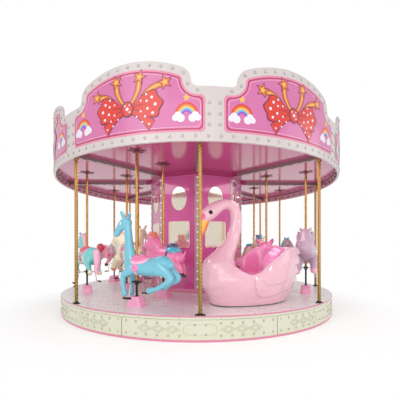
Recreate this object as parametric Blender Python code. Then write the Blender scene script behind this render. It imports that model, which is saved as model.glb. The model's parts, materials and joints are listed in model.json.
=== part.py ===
"""Fairground carousel with twelve jumping animals and two swan chariots, in metres, +Z up.

The origin is on the ground at the turning axis, and the side that faces -Y is the front. A fixed skirt
and a base frame stand on the ground. Everything above them turns: deck, eight posts, eight-sided centre
column, canopy beams, ceiling, roof and crown. Each animal rides on a pole that slides in the ceiling.
"""

import math

import bmesh
import bpy
from mathutils import Matrix, Vector

# Driving dimensions
SECTORS = 8
SECTOR_DEG = 360 / SECTORS
FIT_GAP = 0.0003
ROUND_SIDES = 64

# Base, skirt and deck
SKIRT_R = 2.44
SKIRT_WALL = 0.012
SKIRT_TOP = 0.254
DECK_BOTTOM = 0.26
DECK_TOP = 0.30
BASE_ARM_H = 0.10
BASE_ARM_W = 0.08
BASE_HUB_R = 0.58
BEARING_R = 0.50
BEARING_GAP = 0.0006

# Posts and centre column
POST_CIRCLE_R = 2.40
POST_R = 0.0225
POST_FLANGE = (0.12, 0.07)
POST_FLANGE_H = 0.008
POLE_SIDES = 12
COLUMN_R = 0.893

# Canopy
CEILING_Z = DECK_TOP + 2.07
CEILING_T = 0.02
CANOPY_R = 2.5134
BEAM_H = 0.05
BEAM_W = 0.06
COLLAR_W = 0.04
CROWN_R = 2.546
CROWN_T = 0.03
CROWN_BOTTOM = DECK_TOP + 1.947
CROWN_TURN_DEG = 3.5
ARCH_RISE = 0.93
ARCH_R = 1.85
ARCH_END_DEG = 20
SHOULDER_R = 0.16
SHOULDER_END_DEG = 88
FILLET_R = 0.07
ROOF_R = 2.50
ROOF_EAVES_Z = 2.70
ROOF_APEX_Z = 3.03
ROOF_T = 0.015
ROOF_SIDES = 32

# Riders: poles, rods and drive covers
OUTER_RING_R = 2.04
INNER_RING_R = 1.37
OUTER_SHIFT_DEG = -1.5
INNER_SHIFT_DEG = -0.5
STROKE = 0.16
POLE_R = 0.019
POLE_ABOVE_CEILING = 0.12
ROD_R = 0.015
ROD_END = 0.12 - DECK_TOP
ROD_HOLE_R = 0.03
ROD_HOLE_SIDES = 8
COVER_H = 0.13
COVER_BASE = (0.22, 0.20)
COVER_TOP = (0.15, 0.13)
BRACKET = (0.12, 0.074, 0.031)
BRACKET_Z = 0.315
BAR_R = 0.009
BAR_SIDES = 6
PEDAL = (0.11, 0.052, 0.026)
PEDAL_OUT, PEDAL_Z = 0.21, 0.115
# Half of the foot bar's line, from under the animal out to a pedal, as (outwards, up)
FOOT_BAR = ((0.0, 0.295), (0.10, 0.295), (0.14, 0.265), (0.16, 0.15), (0.18, PEDAL_Z), (PEDAL_OUT, PEDAL_Z))
# How far a joined or cut shape reaches into or past its neighbour
LAP = 0.004
CUT_PAST = 0.02

# Swan chariots
SWAN_R = 1.77

# Where the sectors are, as degrees from the front, positive towards +X
SECTOR_ANGLES = {1: -22.5, 2: -67.5, 3: -112.5, 5: 157.5, 6: 112.5, 7: 67.5}
SWAN_ANGLES = {"front": 22.5, "back": -157.5}

# Ring, sector, animal, and how far the ride has lifted it at rest
RIDERS = (
    ("outer", 1, "giraffe", 0.02),
    ("inner", 1, "pig", 0.07),
    ("outer", 2, "pony", 0.06),
    ("inner", 2, "hippo", 0.12),
    ("outer", 3, "pony", 0.11),
    ("inner", 3, "giraffe", 0.03),
    ("outer", 5, "giraffe", 0.12),
    ("inner", 5, "pony", 0.05),
    ("outer", 6, "pony", 0.01),
    ("inner", 6, "pig", 0.09),
    ("outer", 7, "hippo", 0.13),
    ("inner", 7, "pig", 0.01),
)

# Riders turned a little off the way of travel, in degrees to the left
TURNED = {"outer_2": 16, "inner_2": 20}

# Each limb is a row of (forward, left, up, radius), from the pole's axis and the deck, at the lowest lift.
# A limb whose name starts with "pair" is made again on the other side.
GIRAFFE = {
    "trunk": ((-0.48, 0, 0.47, 0.07), (-0.40, 0, 0.49, 0.14), (-0.22, 0, 0.49, 0.155),
              (0.02, 0, 0.49, 0.15), (0.15, 0, 0.53, 0.11)),
    "neck": ((0.08, 0, 0.50, 0.12), (0.12, 0, 0.68, 0.07), (0.135, 0, 0.90, 0.047), (0.155, 0, 1.08, 0.055)),
    "head": ((0.12, 0, 1.08, 0.05), (0.19, 0, 1.07, 0.075), (0.27, 0, 0.99, 0.05), (0.33, 0, 0.93, 0.038)),
    "pair_ear": ((0.16, 0.04, 1.10, 0.03), (0.18, 0.08, 1.19, 0.032), (0.19, 0.10, 1.235, 0.012)),
    "left_foreleg": ((0.04, 0.08, 0.47, 0.08), (0.14, 0.09, 0.40, 0.052), (0.15, 0.09, 0.29, 0.036),
                     (0.13, 0.09, 0.165, 0.042)),
    "right_foreleg": ((0.04, -0.08, 0.47, 0.08), (0.12, -0.09, 0.38, 0.052), (0.14, -0.09, 0.26, 0.036),
                      (0.15, -0.09, 0.14, 0.042)),
    "left_hindleg": ((-0.37, 0.07, 0.48, 0.11), (-0.56, 0.10, 0.37, 0.05), (-0.40, 0.10, 0.255, 0.038),
                     (-0.245, 0.10, 0.205, 0.042)),
    "right_hindleg": ((-0.37, -0.07, 0.48, 0.11), (-0.56, -0.10, 0.37, 0.05), (-0.45, -0.10, 0.285, 0.038),
                      (-0.36, -0.10, 0.225, 0.042)),
}
PIG = {
    "trunk": ((-0.29, 0, 0.53, 0.09), (-0.22, 0, 0.53, 0.165), (-0.06, 0, 0.52, 0.185),
              (0.10, 0, 0.54, 0.17), (0.18, 0, 0.58, 0.12)),
    "head": ((0.08, 0, 0.64, 0.12), (0.18, 0, 0.72, 0.15), (0.28, 0, 0.71, 0.12), (0.34, 0, 0.69, 0.06)),
    "snout": ((0.28, 0, 0.69, 0.07), (0.38, 0, 0.67, 0.06)),
    "pair_ear": ((0.15, 0.09, 0.80, 0.04), (0.17, 0.13, 0.88, 0.035), (0.20, 0.15, 0.91, 0.012)),
    "left_foreleg": ((0.06, 0.10, 0.46, 0.08), (0.20, 0.11, 0.37, 0.05), (0.27, 0.11, 0.28, 0.045)),
    "right_foreleg": ((0.06, -0.10, 0.46, 0.08), (0.17, -0.11, 0.35, 0.05), (0.22, -0.11, 0.25, 0.045)),
    "left_hindleg": ((-0.20, 0.09, 0.47, 0.10), (-0.33, 0.11, 0.39, 0.055), (-0.365, 0.11, 0.31, 0.042)),
    "right_hindleg": ((-0.20, -0.09, 0.47, 0.10), (-0.28, -0.11, 0.36, 0.055), (-0.30, -0.11, 0.27, 0.042)),
    "tail": ((-0.34, 0, 0.58, 0.02), (-0.39, 0, 0.62, 0.018), (-0.385, 0, 0.66, 0.014)),
}
PONY = {
    "trunk": ((-0.40, 0, 0.57, 0.08), (-0.32, 0, 0.57, 0.15), (-0.12, 0, 0.55, 0.15),
              (0.10, 0, 0.56, 0.15), (0.19, 0, 0.60, 0.10)),
    "neck": ((0.10, 0, 0.58, 0.12), (0.20, 0, 0.76, 0.085), (0.26, 0, 0.90, 0.07)),
    "head": ((0.20, 0, 0.92, 0.06), (0.27, 0, 0.91, 0.078), (0.37, 0, 0.83, 0.058), (0.44, 0, 0.77, 0.045)),
    "pair_ear": ((0.23, 0.04, 0.95, 0.026), (0.23, 0.055, 1.01, 0.026), (0.24, 0.06, 1.06, 0.008)),
    "mane": ((0.24, 0, 0.98, 0.03), (0.15, 0, 0.92, 0.045), (0.08, 0, 0.78, 0.05), (0.02, 0, 0.68, 0.03)),
    "tail": ((-0.38, 0, 0.62, 0.03), (-0.47, 0, 0.62, 0.05), (-0.52, 0, 0.48, 0.055), (-0.53, 0, 0.34, 0.02)),
    "left_foreleg": ((0.08, 0.07, 0.50, 0.08), (0.25, 0.08, 0.46, 0.05), (0.29, 0.08, 0.31, 0.036),
                     (0.26, 0.08, 0.24, 0.042)),
    "right_foreleg": ((0.08, -0.07, 0.50, 0.08), (0.20, -0.08, 0.40, 0.05), (0.18, -0.08, 0.26, 0.036),
                      (0.14, -0.08, 0.19, 0.042)),
    "left_hindleg": ((-0.28, 0.07, 0.50, 0.11), (-0.34, 0.09, 0.39, 0.055), (-0.45, 0.09, 0.325, 0.036),
                     (-0.51, 0.09, 0.28, 0.042)),
    "right_hindleg": ((-0.28, -0.07, 0.50, 0.11), (-0.28, -0.09, 0.38, 0.055), (-0.37, -0.09, 0.29, 0.036),
                      (-0.42, -0.09, 0.235, 0.042)),
}
HIPPO = {
    "trunk": ((-0.38, 0, 0.52, 0.10), (-0.30, 0, 0.53, 0.18), (-0.10, 0, 0.53, 0.20),
              (0.10, 0, 0.56, 0.18), (0.18, 0, 0.62, 0.13)),
    "head": ((0.08, 0, 0.72, 0.14), (0.20, 0, 0.80, 0.15), (0.30, 0, 0.72, 0.14), (0.37, 0, 0.64, 0.15),
             (0.41, 0, 0.60, 0.08)),
    "pair_ear": ((0.14, 0.08, 0.90, 0.03), (0.14, 0.11, 0.96, 0.034), (0.15, 0.12, 0.99, 0.012)),
    "left_foreleg": ((0.08, 0.11, 0.46, 0.09), (0.20, 0.13, 0.36, 0.06), (0.25, 0.13, 0.27, 0.055)),
    "right_foreleg": ((0.08, -0.11, 0.46, 0.09), (0.18, -0.13, 0.34, 0.06), (0.20, -0.13, 0.24, 0.055)),
    "left_hindleg": ((-0.24, 0.10, 0.46, 0.12), (-0.36, 0.13, 0.35, 0.065), (-0.42, 0.13, 0.28, 0.055)),
    "right_hindleg": ((-0.24, -0.10, 0.46, 0.12), (-0.30, -0.13, 0.33, 0.065), (-0.34, -0.13, 0.25, 0.055)),
    "tail": ((-0.42, 0, 0.58, 0.02), (-0.50, 0, 0.54, 0.016), (-0.53, 0, 0.46, 0.014)),
}
ANIMALS = {"giraffe": GIRAFFE, "pig": PIG, "pony": PONY, "hippo": HIPPO}
TRUNK_SIDES = 10
LIMB_SIDES = 6

# Swan hull stations: forward, half width, keel height, rim height, all above the deck
SWAN_STATIONS = (
    (0.68, 0.07, 0.28, 0.55),
    (0.60, 0.22, 0.12, 0.62),
    (0.45, 0.34, 0.02, 0.66),
    (0.20, 0.42, 0.0, 0.47),
    (-0.05, 0.44, 0.0, 0.50),
    (-0.35, 0.42, 0.0, 0.68),
    (-0.56, 0.35, 0.0, 0.75),
    (-0.74, 0.26, 0.22, 0.79),
    (-0.86, 0.17, 0.44, 0.81),
    (-0.91, 0.10, 0.58, 0.82),
)
# The well that is scooped out of the hull: forward, half width, floor height
WELL_STATIONS = (
    (0.30, 0.26, 0.30),
    (0.16, 0.34, 0.14),
    (-0.10, 0.36, 0.14),
    (-0.12, 0.36, 0.34),
    (-0.42, 0.32, 0.36),
    (-0.58, 0.24, 0.52),
)
WELL_TOP = 1.0
SWAN_NECK = ((0.42, 0, 0.44, 0.24), (0.38, 0, 0.66, 0.15), (0.30, 0, 0.79, 0.11), (0.20, 0, 1.0, 0.085),
             (0.18, 0, 1.19, 0.08), (0.27, 0, 1.36, 0.075), (0.43, 0, 1.34, 0.083), (0.57, 0, 1.25, 0.105),
             (0.65, 0, 1.16, 0.068))
SWAN_BEAK = ((0.65, 0, 1.15, 0.055), (0.70, 0, 1.05, 0.042), (0.76, 0, 0.94, 0.014))
NECK_SIDES = 10

# Finishes: colour, roughness, metallic
FINISHES = {
    "cream_fibreglass": ((0.86, 0.84, 0.74), 0.35, 0.0),
    "pink_gloss": ((0.85, 0.36, 0.62), 0.25, 0.0),
    "pale_pink": ((0.93, 0.66, 0.77), 0.25, 0.0),
    "magenta_gloss": ((0.62, 0.13, 0.38), 0.2, 0.0),
    "turquoise": ((0.25, 0.68, 0.78), 0.25, 0.0),
    "lilac": ((0.70, 0.60, 0.72), 0.3, 0.0),
    "deck_plate": ((0.72, 0.70, 0.70), 0.3, 0.9),
    "brass": ((0.80, 0.58, 0.22), 0.25, 1.0),
    "white_trim": ((0.90, 0.88, 0.86), 0.35, 0.0),
    "black_steel": ((0.03, 0.03, 0.03), 0.5, 0.3),
}
ANIMAL_FINISH = {"giraffe": "turquoise", "pig": "pink_gloss", "pony": "turquoise", "hippo": "lilac"}


def clear_scene():
    for obj in list(bpy.data.objects):
        bpy.data.objects.remove(obj)


def finish(name):
    """The material of that finish, made the first time it is asked for."""
    material = bpy.data.materials.get(name)
    if material is None:
        colour, roughness, metallic = FINISHES[name]
        material = bpy.data.materials.new(name)
        material.use_nodes = True
        shader = material.node_tree.nodes["Principled BSDF"]
        shader.inputs["Base Color"].default_value = (*colour, 1)
        shader.inputs["Roughness"].default_value = roughness
        shader.inputs["Metallic"].default_value = metallic
    return material


def add_piece(name, mesh, finish_name, place=None):
    """One named piece, at the origin unless it is given a place."""
    piece = bpy.data.objects.new(name, mesh)
    if not mesh.materials:
        mesh.materials.append(finish(finish_name))
    bpy.context.scene.collection.objects.link(piece)
    if place is not None:
        piece.matrix_world = place
    return piece


def station(radius, angle_deg, height=0.0, turn_deg=0.0):
    """Local +X is the way of travel, turned to the left by turn_deg, and local +Y points outwards."""
    angle = math.radians(angle_deg)
    place = Vector((radius * math.sin(angle), -radius * math.cos(angle), height))
    return Matrix.Translation(place) @ Matrix.Rotation(angle + math.pi + math.radians(turn_deg), 4, "Z")


def closed_mesh(name, points, faces):
    """A mesh whose faces point outwards."""
    shape = bmesh.new()
    corners = [shape.verts.new(point) for point in points]
    for face in faces:
        shape.faces.new([corners[i] for i in face])
    bmesh.ops.recalc_face_normals(shape, faces=shape.faces)
    mesh = bpy.data.meshes.new(name)
    shape.to_mesh(mesh)
    shape.free()
    return mesh


def smooth(mesh, angle_deg=40):
    mesh.shade_smooth()
    mesh.set_sharp_from_angle(angle=math.radians(angle_deg))
    return mesh


def circle(radius, sides):
    """Corners of a regular polygon, the first one on +X."""
    turns = [2 * math.pi * i / sides for i in range(sides)]
    return [(radius * math.cos(turn), radius * math.sin(turn)) for turn in turns]


def prism(name, outline, low, high):
    """An outline in X and Y, pulled up from one height to another."""
    count = len(outline)
    points = [(x, y, low) for x, y in outline] + [(x, y, high) for x, y in outline]
    sides = [(i, (i + 1) % count, (i + 1) % count + count, i + count) for i in range(count)]
    return closed_mesh(name, points, [tuple(range(count)), tuple(range(count, 2 * count))] + sides)


def frustum(name, base, top, low, high):
    """A box whose top is smaller than its base."""
    points = []
    for (length, width), z in ((base, low), (top, high)):
        points += [(sx * length / 2, sy * width / 2, z) for sx, sy in ((-1, -1), (1, -1), (1, 1), (-1, 1))]
    sides = [(i, (i + 1) % 4, (i + 1) % 4 + 4, i + 4) for i in range(4)]
    return closed_mesh(name, points, [(0, 1, 2, 3), (4, 5, 6, 7)] + sides)


def ring(name, section, sides):
    """A closed section of (radius, height) points carried round the axis."""
    count = len(section)
    points = []
    for i in range(sides):
        turn = 2 * math.pi * i / sides
        points += [(r * math.cos(turn), r * math.sin(turn), z) for r, z in section]
    faces = []
    for i in range(sides):
        here, there = i * count, (i + 1) % sides * count
        faces += [(here + j, here + (j + 1) % count, there + (j + 1) % count, there + j) for j in range(count)]
    return closed_mesh(name, points, faces)


def turned(name, profile, sides):
    """A profile of (radius, height) points whose first and last points are on the axis."""
    middle = profile[1:-1]
    count = len(middle)
    points = [(0, 0, profile[0][1]), (0, 0, profile[-1][1])]
    for x, y in circle(1, sides):
        points += [(r * x, r * y, z) for r, z in middle]
    faces = []
    for i in range(sides):
        here, there = 2 + i * count, 2 + (i + 1) % sides * count
        faces.append((0, here, there))
        faces.append((1, here + count - 1, there + count - 1))
        faces += [(here + j, here + j + 1, there + j + 1, there + j) for j in range(count - 1)]
    return closed_mesh(name, points, faces)


def loft(name, rings):
    """Rings of as many points each, joined in order and closed with a flat face at each end."""
    count = len(rings[0])
    points = [point for row in rings for point in row]
    faces = [tuple(range(count)), tuple(range(len(points) - count, len(points)))]
    for i in range(len(rings) - 1):
        here, there = i * count, (i + 1) * count
        faces += [(here + j, here + (j + 1) % count, there + (j + 1) % count, there + j) for j in range(count)]
    return closed_mesh(name, points, faces)


def path_directions(places):
    """Which way a line of points runs at each of them: halfway between its two neighbouring steps."""
    ways = [(b - a).normalized() for a, b in zip(places, places[1:])]
    return [ways[0]] + [(a + b).normalized() for a, b in zip(ways, ways[1:])] + [ways[-1]]


def limb(name, row, sides):
    """A tube through (x, y, z, radius) points, square to its path, with its ends drawn in."""
    places = [Vector(point[:3]) for point in row]
    radii = [point[3] for point in row]
    along = path_directions(places)
    places = [places[0] - along[0] * radii[0] * 0.6] + places + [places[-1] + along[-1] * radii[-1] * 0.6]
    radii = [radii[0] * 0.5] + radii + [radii[-1] * 0.5]
    along = [along[0]] + along + [along[-1]]
    rings = []
    for place, radius, way in zip(places, radii, along):
        across = (Vector((0, 1, 0)) - way * way.y).normalized()
        up = way.cross(across)
        rings.append([place + across * radius * x + up * radius * y for x, y in circle(1, sides)])
    return loft(name, rings)


def helper(name, mesh):
    """An object that only cuts or joins, and isn't part of the model."""
    obj = bpy.data.objects.new(name, mesh)
    obj.hide_render = True
    obj.display_type = "WIRE"
    bpy.context.scene.collection.objects.link(obj)
    return obj


def combined(name, base, joins=(), cuts=(), solver="EXACT"):
    """The base mesh with the joins added to it and the cuts taken away."""
    body = helper(name + "_body", base)
    others = []
    for operation, meshes in (("UNION", joins), ("DIFFERENCE", cuts)):
        for mesh in meshes:
            other = helper(mesh.name, mesh)
            others.append(other)
            modifier = body.modifiers.new(operation.lower(), "BOOLEAN")
            modifier.operation = operation
            modifier.solver = solver
            modifier.object = other
    graph = bpy.context.evaluated_depsgraph_get()
    result = bpy.data.meshes.new_from_object(body.evaluated_get(graph))
    result.name = name
    for obj in [body, *others]:
        bpy.data.objects.remove(obj)
    return result


def star(name, hub_r, arm_w, reach, low, high):
    """Eight arms on an eight-sided hub, one on each of its corners."""
    half = arm_w / 2
    base_x = hub_r - half * math.tan(math.radians(SECTOR_DEG / 2))
    outline = []
    for i in range(SECTORS):
        turn = Matrix.Rotation(math.radians(i * SECTOR_DEG), 2)
        outline += [turn @ Vector(p) for p in ((base_x, -half), (reach, -half), (reach, half), (base_x, half))]
    return prism(name, outline, low, high)


def crown_edge():
    """Half of a crown panel's top edge, from its middle, as (distance round the crown, height)."""
    points = []
    for i in range(4):
        turn = math.radians(ARCH_END_DEG * i / 4)
        points.append((ARCH_R * math.sin(turn), ARCH_RISE - ARCH_R * (1 - math.cos(turn))))
    end = math.radians(ARCH_END_DEG)
    shoulder_x = (ARCH_R - SHOULDER_R) * math.sin(end)
    shoulder_z = ARCH_RISE - ARCH_R + (ARCH_R - SHOULDER_R) * math.cos(end)
    for i in range(4):
        turn = math.radians(ARCH_END_DEG + (SHOULDER_END_DEG - ARCH_END_DEG) * i / 3)
        points.append((shoulder_x + SHOULDER_R * math.sin(turn), shoulder_z + SHOULDER_R * math.cos(turn)))
    last = math.radians(SHOULDER_END_DEG)
    fillet_x = shoulder_x + (SHOULDER_R + FILLET_R) * math.sin(last)
    fillet_z = shoulder_z + (SHOULDER_R + FILLET_R) * math.cos(last)
    for i in (1, 2):
        turn = math.radians(SHOULDER_END_DEG * (1 - i / 2))
        points.append((fillet_x - FILLET_R * math.sin(turn), fillet_z - FILLET_R * math.cos(turn)))
    return points, (CROWN_R * math.pi / SECTORS, fillet_z - FILLET_R)


def crown_mesh():
    """The rounding board: a thin wall round the canopy whose top edge rises to an arch in every sector."""
    half, seam = crown_edge()
    panel = [(-s, z) for s, z in reversed(half[1:])] + half + [seam]
    points = []
    for i in range(SECTORS):
        middle = math.radians(CROWN_TURN_DEG + (i + 0.5) * SECTOR_DEG)
        for s, z in panel:
            turn = middle + s / CROWN_R
            for radius, height in ((CROWN_R, 0), (CROWN_R, z), (CROWN_R - CROWN_T, z), (CROWN_R - CROWN_T, 0)):
                points.append((radius * math.sin(turn), -radius * math.cos(turn), CROWN_BOTTOM + height))
    columns = len(points) // 4
    faces = []
    for i in range(columns):
        here, there = 4 * i, 4 * ((i + 1) % columns)
        faces += [(here + j, here + (j + 1) % 4, there + (j + 1) % 4, there + j) for j in range(4)]
    return closed_mesh("crown", points, faces)


def add_base():
    skirt_inner = SKIRT_R - SKIRT_WALL
    section = ((SKIRT_R, 0), (SKIRT_R, SKIRT_TOP), (skirt_inner, SKIRT_TOP), (skirt_inner, 0))
    add_piece("skirt", smooth(ring("skirt", section, ROUND_SIDES)), "cream_fibreglass")
    reach = skirt_inner - BASE_ARM_W / 2 * math.tan(math.pi / ROUND_SIDES) - FIT_GAP
    frame = star("base_frame", BASE_HUB_R, BASE_ARM_W, reach, 0, BASE_ARM_H)
    add_piece("base_frame", frame, "black_steel", Matrix.Rotation(math.radians(SECTOR_DEG / 2), 4, "Z"))
    bearing = prism("turntable_bearing", circle(BEARING_R, 24), BASE_ARM_H + FIT_GAP, DECK_BOTTOM - BEARING_GAP)
    add_piece("turntable_bearing", smooth(bearing), "black_steel")


def rider_station(ring_name, sector):
    radius, shift = {
        "outer": (OUTER_RING_R, OUTER_SHIFT_DEG),
        "inner": (INNER_RING_R, INNER_SHIFT_DEG),
    }[ring_name]
    return radius, SECTOR_ANGLES[sector] + shift


def pole_cutters(radius, sides, low, high):
    """One cutter at each rider's pole, turned as the pole is."""
    cutters = []
    for ring_name, sector, _, _ in RIDERS:
        cutter = prism(f"bore_{ring_name}_{sector}", circle(radius, sides), low, high)
        turn = TURNED.get(f"{ring_name}_{sector}", 0.0)
        cutter.transform(station(*rider_station(ring_name, sector), 0.0, turn))
        cutters.append(cutter)
    return cutters


def add_deck_and_column():
    deck = prism("deck_plain", circle(SKIRT_R, ROUND_SIDES), DECK_BOTTOM, DECK_TOP)
    bores = pole_cutters(ROD_HOLE_R, ROD_HOLE_SIDES, DECK_BOTTOM - CUT_PAST, DECK_TOP + CUT_PAST)
    add_piece("deck", combined("deck", deck, cuts=bores), "deck_plate")
    column = prism("column", circle(COLUMN_R, SECTORS), DECK_TOP + FIT_GAP, CEILING_Z - BEAM_H - FIT_GAP)
    add_piece("column", column, "pink_gloss")


def add_posts():
    """Eight posts, each a tube on a square foot plate."""
    foot = DECK_TOP + FIT_GAP
    top = CEILING_Z - BEAM_H - FIT_GAP
    flange = frustum("post_flange", POST_FLANGE, POST_FLANGE, foot, foot + POST_FLANGE_H)
    tube = prism("post_tube", circle(POST_R, POLE_SIDES), foot + POST_FLANGE_H / 2, top)
    mesh = smooth(combined("post", flange, joins=[tube]))
    for i in range(SECTORS):
        add_piece(f"post_{i + 1}", mesh, "brass", station(POST_CIRCLE_R, -i * SECTOR_DEG))


def add_canopy():
    beams = star("canopy_beams", COLUMN_R + COLLAR_W, BEAM_W, CANOPY_R, CEILING_Z - BEAM_H, CEILING_Z)
    add_piece("canopy_beams", beams, "white_trim")
    low = CEILING_Z + FIT_GAP
    disc = prism("ceiling_plain", circle(CANOPY_R, ROUND_SIDES), low, low + CEILING_T)
    bores = pole_cutters(POLE_R + BEARING_GAP, POLE_SIDES, low - CUT_PAST, low + CEILING_T + CUT_PAST)
    add_piece("ceiling", combined("ceiling", disc, cuts=bores), "magenta_gloss")
    seat = low + CEILING_T + FIT_GAP
    profile = ((0, ROOF_APEX_Z), (ROOF_R, ROOF_EAVES_Z), (ROOF_R, seat), (ROOF_R - ROOF_T, seat),
               (ROOF_R - ROOF_T, ROOF_EAVES_Z - ROOF_T), (0, ROOF_APEX_Z - ROOF_T))
    add_piece("roof", smooth(turned("roof", profile, ROOF_SIDES), 30), "pale_pink")
    add_piece("crown", smooth(crown_mesh()), "white_trim")


def animal_mesh(kind):
    """The limbs of one animal fused into one body, with a bore for its pole."""
    shapes = []
    for name, row in ANIMALS[kind].items():
        sides = TRUNK_SIDES if name in ("trunk", "head") else LIMB_SIDES
        shapes.append(limb(f"{kind}_{name}", row, sides))
        if name.startswith("pair"):
            other = [(x, -y, z, radius) for x, y, z, radius in row]
            shapes.append(limb(f"{kind}_{name}_other", other, sides))
    bore = prism("pole_bore", circle(POLE_R + FIT_GAP, POLE_SIDES), 0, CEILING_Z)
    return smooth(combined(kind, shapes[0], joins=shapes[1:], cuts=[bore]))


def pole_mesh():
    """A brass pole over a thinner black rod, with the bracket, foot bars and pedals under the animal."""
    top = CEILING_Z - DECK_TOP + POLE_ABOVE_CEILING
    profile = ((0, top), (POLE_R, top), (POLE_R, BRACKET_Z), (ROD_R, BRACKET_Z), (ROD_R, ROD_END), (0, ROD_END))
    pole = turned("pole_tube", profile, POLE_SIDES)
    bracket = frustum("bracket", BRACKET[:2], BRACKET[:2], BRACKET_Z - BRACKET[2], BRACKET_Z + LAP)
    pedals = []
    for side in (-1, 1):
        pedal = frustum(f"pedal_{side}", PEDAL[:2], PEDAL[:2], PEDAL_Z - PEDAL[2] / 2, PEDAL_Z + PEDAL[2] / 2)
        pedal.transform(Matrix.Translation((0, side * PEDAL_OUT, 0)))
        pedals.append(pedal)
    # The exact solver leaves open edges where the bar enters the pedals.
    return smooth(combined("pole", pole, joins=[bracket, foot_bar(), *pedals], solver="MANIFOLD"))


def foot_bar():
    """A bar that runs from pedal to pedal, so its section is set out along X."""
    places = [Vector((0, -y, z)) for y, z in reversed(FOOT_BAR[1:])] + [Vector((0, y, z)) for y, z in FOOT_BAR]
    across = Vector((1, 0, 0))
    rings = []
    for place, way in zip(places, path_directions(places)):
        up = way.cross(across)
        rings.append([place + across * x + up * y for x, y in circle(BAR_R, BAR_SIDES)])
    return loft("foot_bar", rings)


def cover_mesh():
    """The drive cover over a rod, with a square-shouldered body and a round hole for the rod."""
    body = frustum("cover_body", COVER_BASE, COVER_TOP, DECK_TOP + FIT_GAP, DECK_TOP + COVER_H)
    bore = prism("rod_bore", circle(ROD_HOLE_R, ROD_HOLE_SIDES), DECK_TOP - CUT_PAST, DECK_TOP + COVER_H + CUT_PAST)
    return combined("cover", body, cuts=[bore])


def add_riders():
    meshes = {kind: animal_mesh(kind) for kind in ANIMALS}
    cover = cover_mesh()
    pole = pole_mesh()
    for ring_name, sector, kind, lift in RIDERS:
        radius, angle = rider_station(ring_name, sector)
        label = f"{ring_name}_{sector}"
        add_piece(f"cover_{label}", cover, "pale_pink", station(radius, angle))
        place = station(radius, angle, DECK_TOP + lift, TURNED.get(label, 0.0))
        add_piece(f"pole_{label}", pole, "brass", place)
        add_piece(f"{kind}_{label}", meshes[kind], ANIMAL_FINISH[kind], place)


def hull_ring(forward, half, keel, rim):
    """One section of the swan's hull, flat across the top."""
    rise = rim - keel
    side = [(0.0, keel), (0.72, keel + 0.02 * rise), (0.97, keel + 0.3 * rise), (1.0, keel + 0.8 * rise),
            (0.94, rim)]
    right = [(forward, half * y, z) for y, z in side]
    left = [(forward, -half * y, z) for y, z in reversed(side[1:])]
    return right + left


def swan_mesh():
    """A boat-shaped body with a seat well, and a neck that curls over to the head and beak."""
    hull = loft("swan_hull", [hull_ring(*row) for row in SWAN_STATIONS])
    well = loft("swan_well", [
        [(x, -half, floor), (x, half, floor), (x, half, WELL_TOP), (x, -half, WELL_TOP)]
        for x, half, floor in WELL_STATIONS])
    neck = limb("swan_neck", SWAN_NECK, NECK_SIDES)
    beak = limb("swan_beak", SWAN_BEAK, LIMB_SIDES)
    tub = combined("swan_tub", hull, cuts=[well])
    return smooth(combined("swan", tub, joins=[neck, beak]))


def add_swans():
    mesh = swan_mesh()
    for side, angle in SWAN_ANGLES.items():
        add_piece(f"swan_{side}", mesh, "pale_pink", station(SWAN_R, angle, DECK_TOP + FIT_GAP))


def main():
    clear_scene()
    add_base()
    add_deck_and_column()
    add_posts()
    add_canopy()
    add_riders()
    add_swans()


main()
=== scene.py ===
"""The looks of the fairground carousel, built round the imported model, in metres and +Z up.

Every new surface is worked out with numpy on grids of points. The animals' and swans' skins are such grids
rebuilt together as one. The front is the side that faces -Y.
"""

import json
import math

import bmesh
import bpy
import numpy as np
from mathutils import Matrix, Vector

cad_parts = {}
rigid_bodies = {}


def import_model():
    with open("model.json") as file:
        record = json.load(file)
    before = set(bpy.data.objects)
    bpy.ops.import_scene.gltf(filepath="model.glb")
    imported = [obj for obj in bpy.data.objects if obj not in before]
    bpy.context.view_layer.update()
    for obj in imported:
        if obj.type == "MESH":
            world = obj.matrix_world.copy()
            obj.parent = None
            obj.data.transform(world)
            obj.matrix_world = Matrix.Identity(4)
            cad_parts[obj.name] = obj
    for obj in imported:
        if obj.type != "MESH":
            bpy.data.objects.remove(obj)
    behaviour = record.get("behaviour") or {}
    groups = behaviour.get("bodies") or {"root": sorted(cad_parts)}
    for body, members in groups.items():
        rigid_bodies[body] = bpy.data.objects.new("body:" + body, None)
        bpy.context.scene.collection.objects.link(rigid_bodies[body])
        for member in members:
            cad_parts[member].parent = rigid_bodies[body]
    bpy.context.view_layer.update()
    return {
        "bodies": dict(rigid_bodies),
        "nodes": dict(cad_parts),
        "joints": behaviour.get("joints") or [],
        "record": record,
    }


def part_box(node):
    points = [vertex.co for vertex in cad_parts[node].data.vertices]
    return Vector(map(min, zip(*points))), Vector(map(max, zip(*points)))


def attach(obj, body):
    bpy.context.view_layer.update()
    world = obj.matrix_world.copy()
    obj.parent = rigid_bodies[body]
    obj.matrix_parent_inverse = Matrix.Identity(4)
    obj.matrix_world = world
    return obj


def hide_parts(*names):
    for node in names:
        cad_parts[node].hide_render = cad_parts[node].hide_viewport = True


TAU = 2 * math.pi
SECTORS = 8
SECTOR = TAU / SECTORS

# Sizes shared with the solids
SKIRT_R = 2.44
FASCIA_R = SKIRT_R - 0.006
POST_CIRCLE_R = 2.40
POST_R = 0.0225
POST_TWIST_PITCH = 0.045
POST_TWIST_STARTS = 3
POST_TWIST_DEPTH = 0.17
COLUMN_R = 0.893
CROWN_R = 2.546
CROWN_T = 0.03
CROWN_TURN = math.radians(3.5)
ARCH_RISE = 0.93
ARCH_R = 1.85
ARCH_END = math.radians(20)
SHOULDER_R = 0.16
SHOULDER_END = math.radians(88)
FILLET_R = 0.07
PANEL_HALF = CROWN_R * math.pi / SECTORS

# Flat faces round a ring as wide as the ride
RING_SIDES = 192

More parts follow.
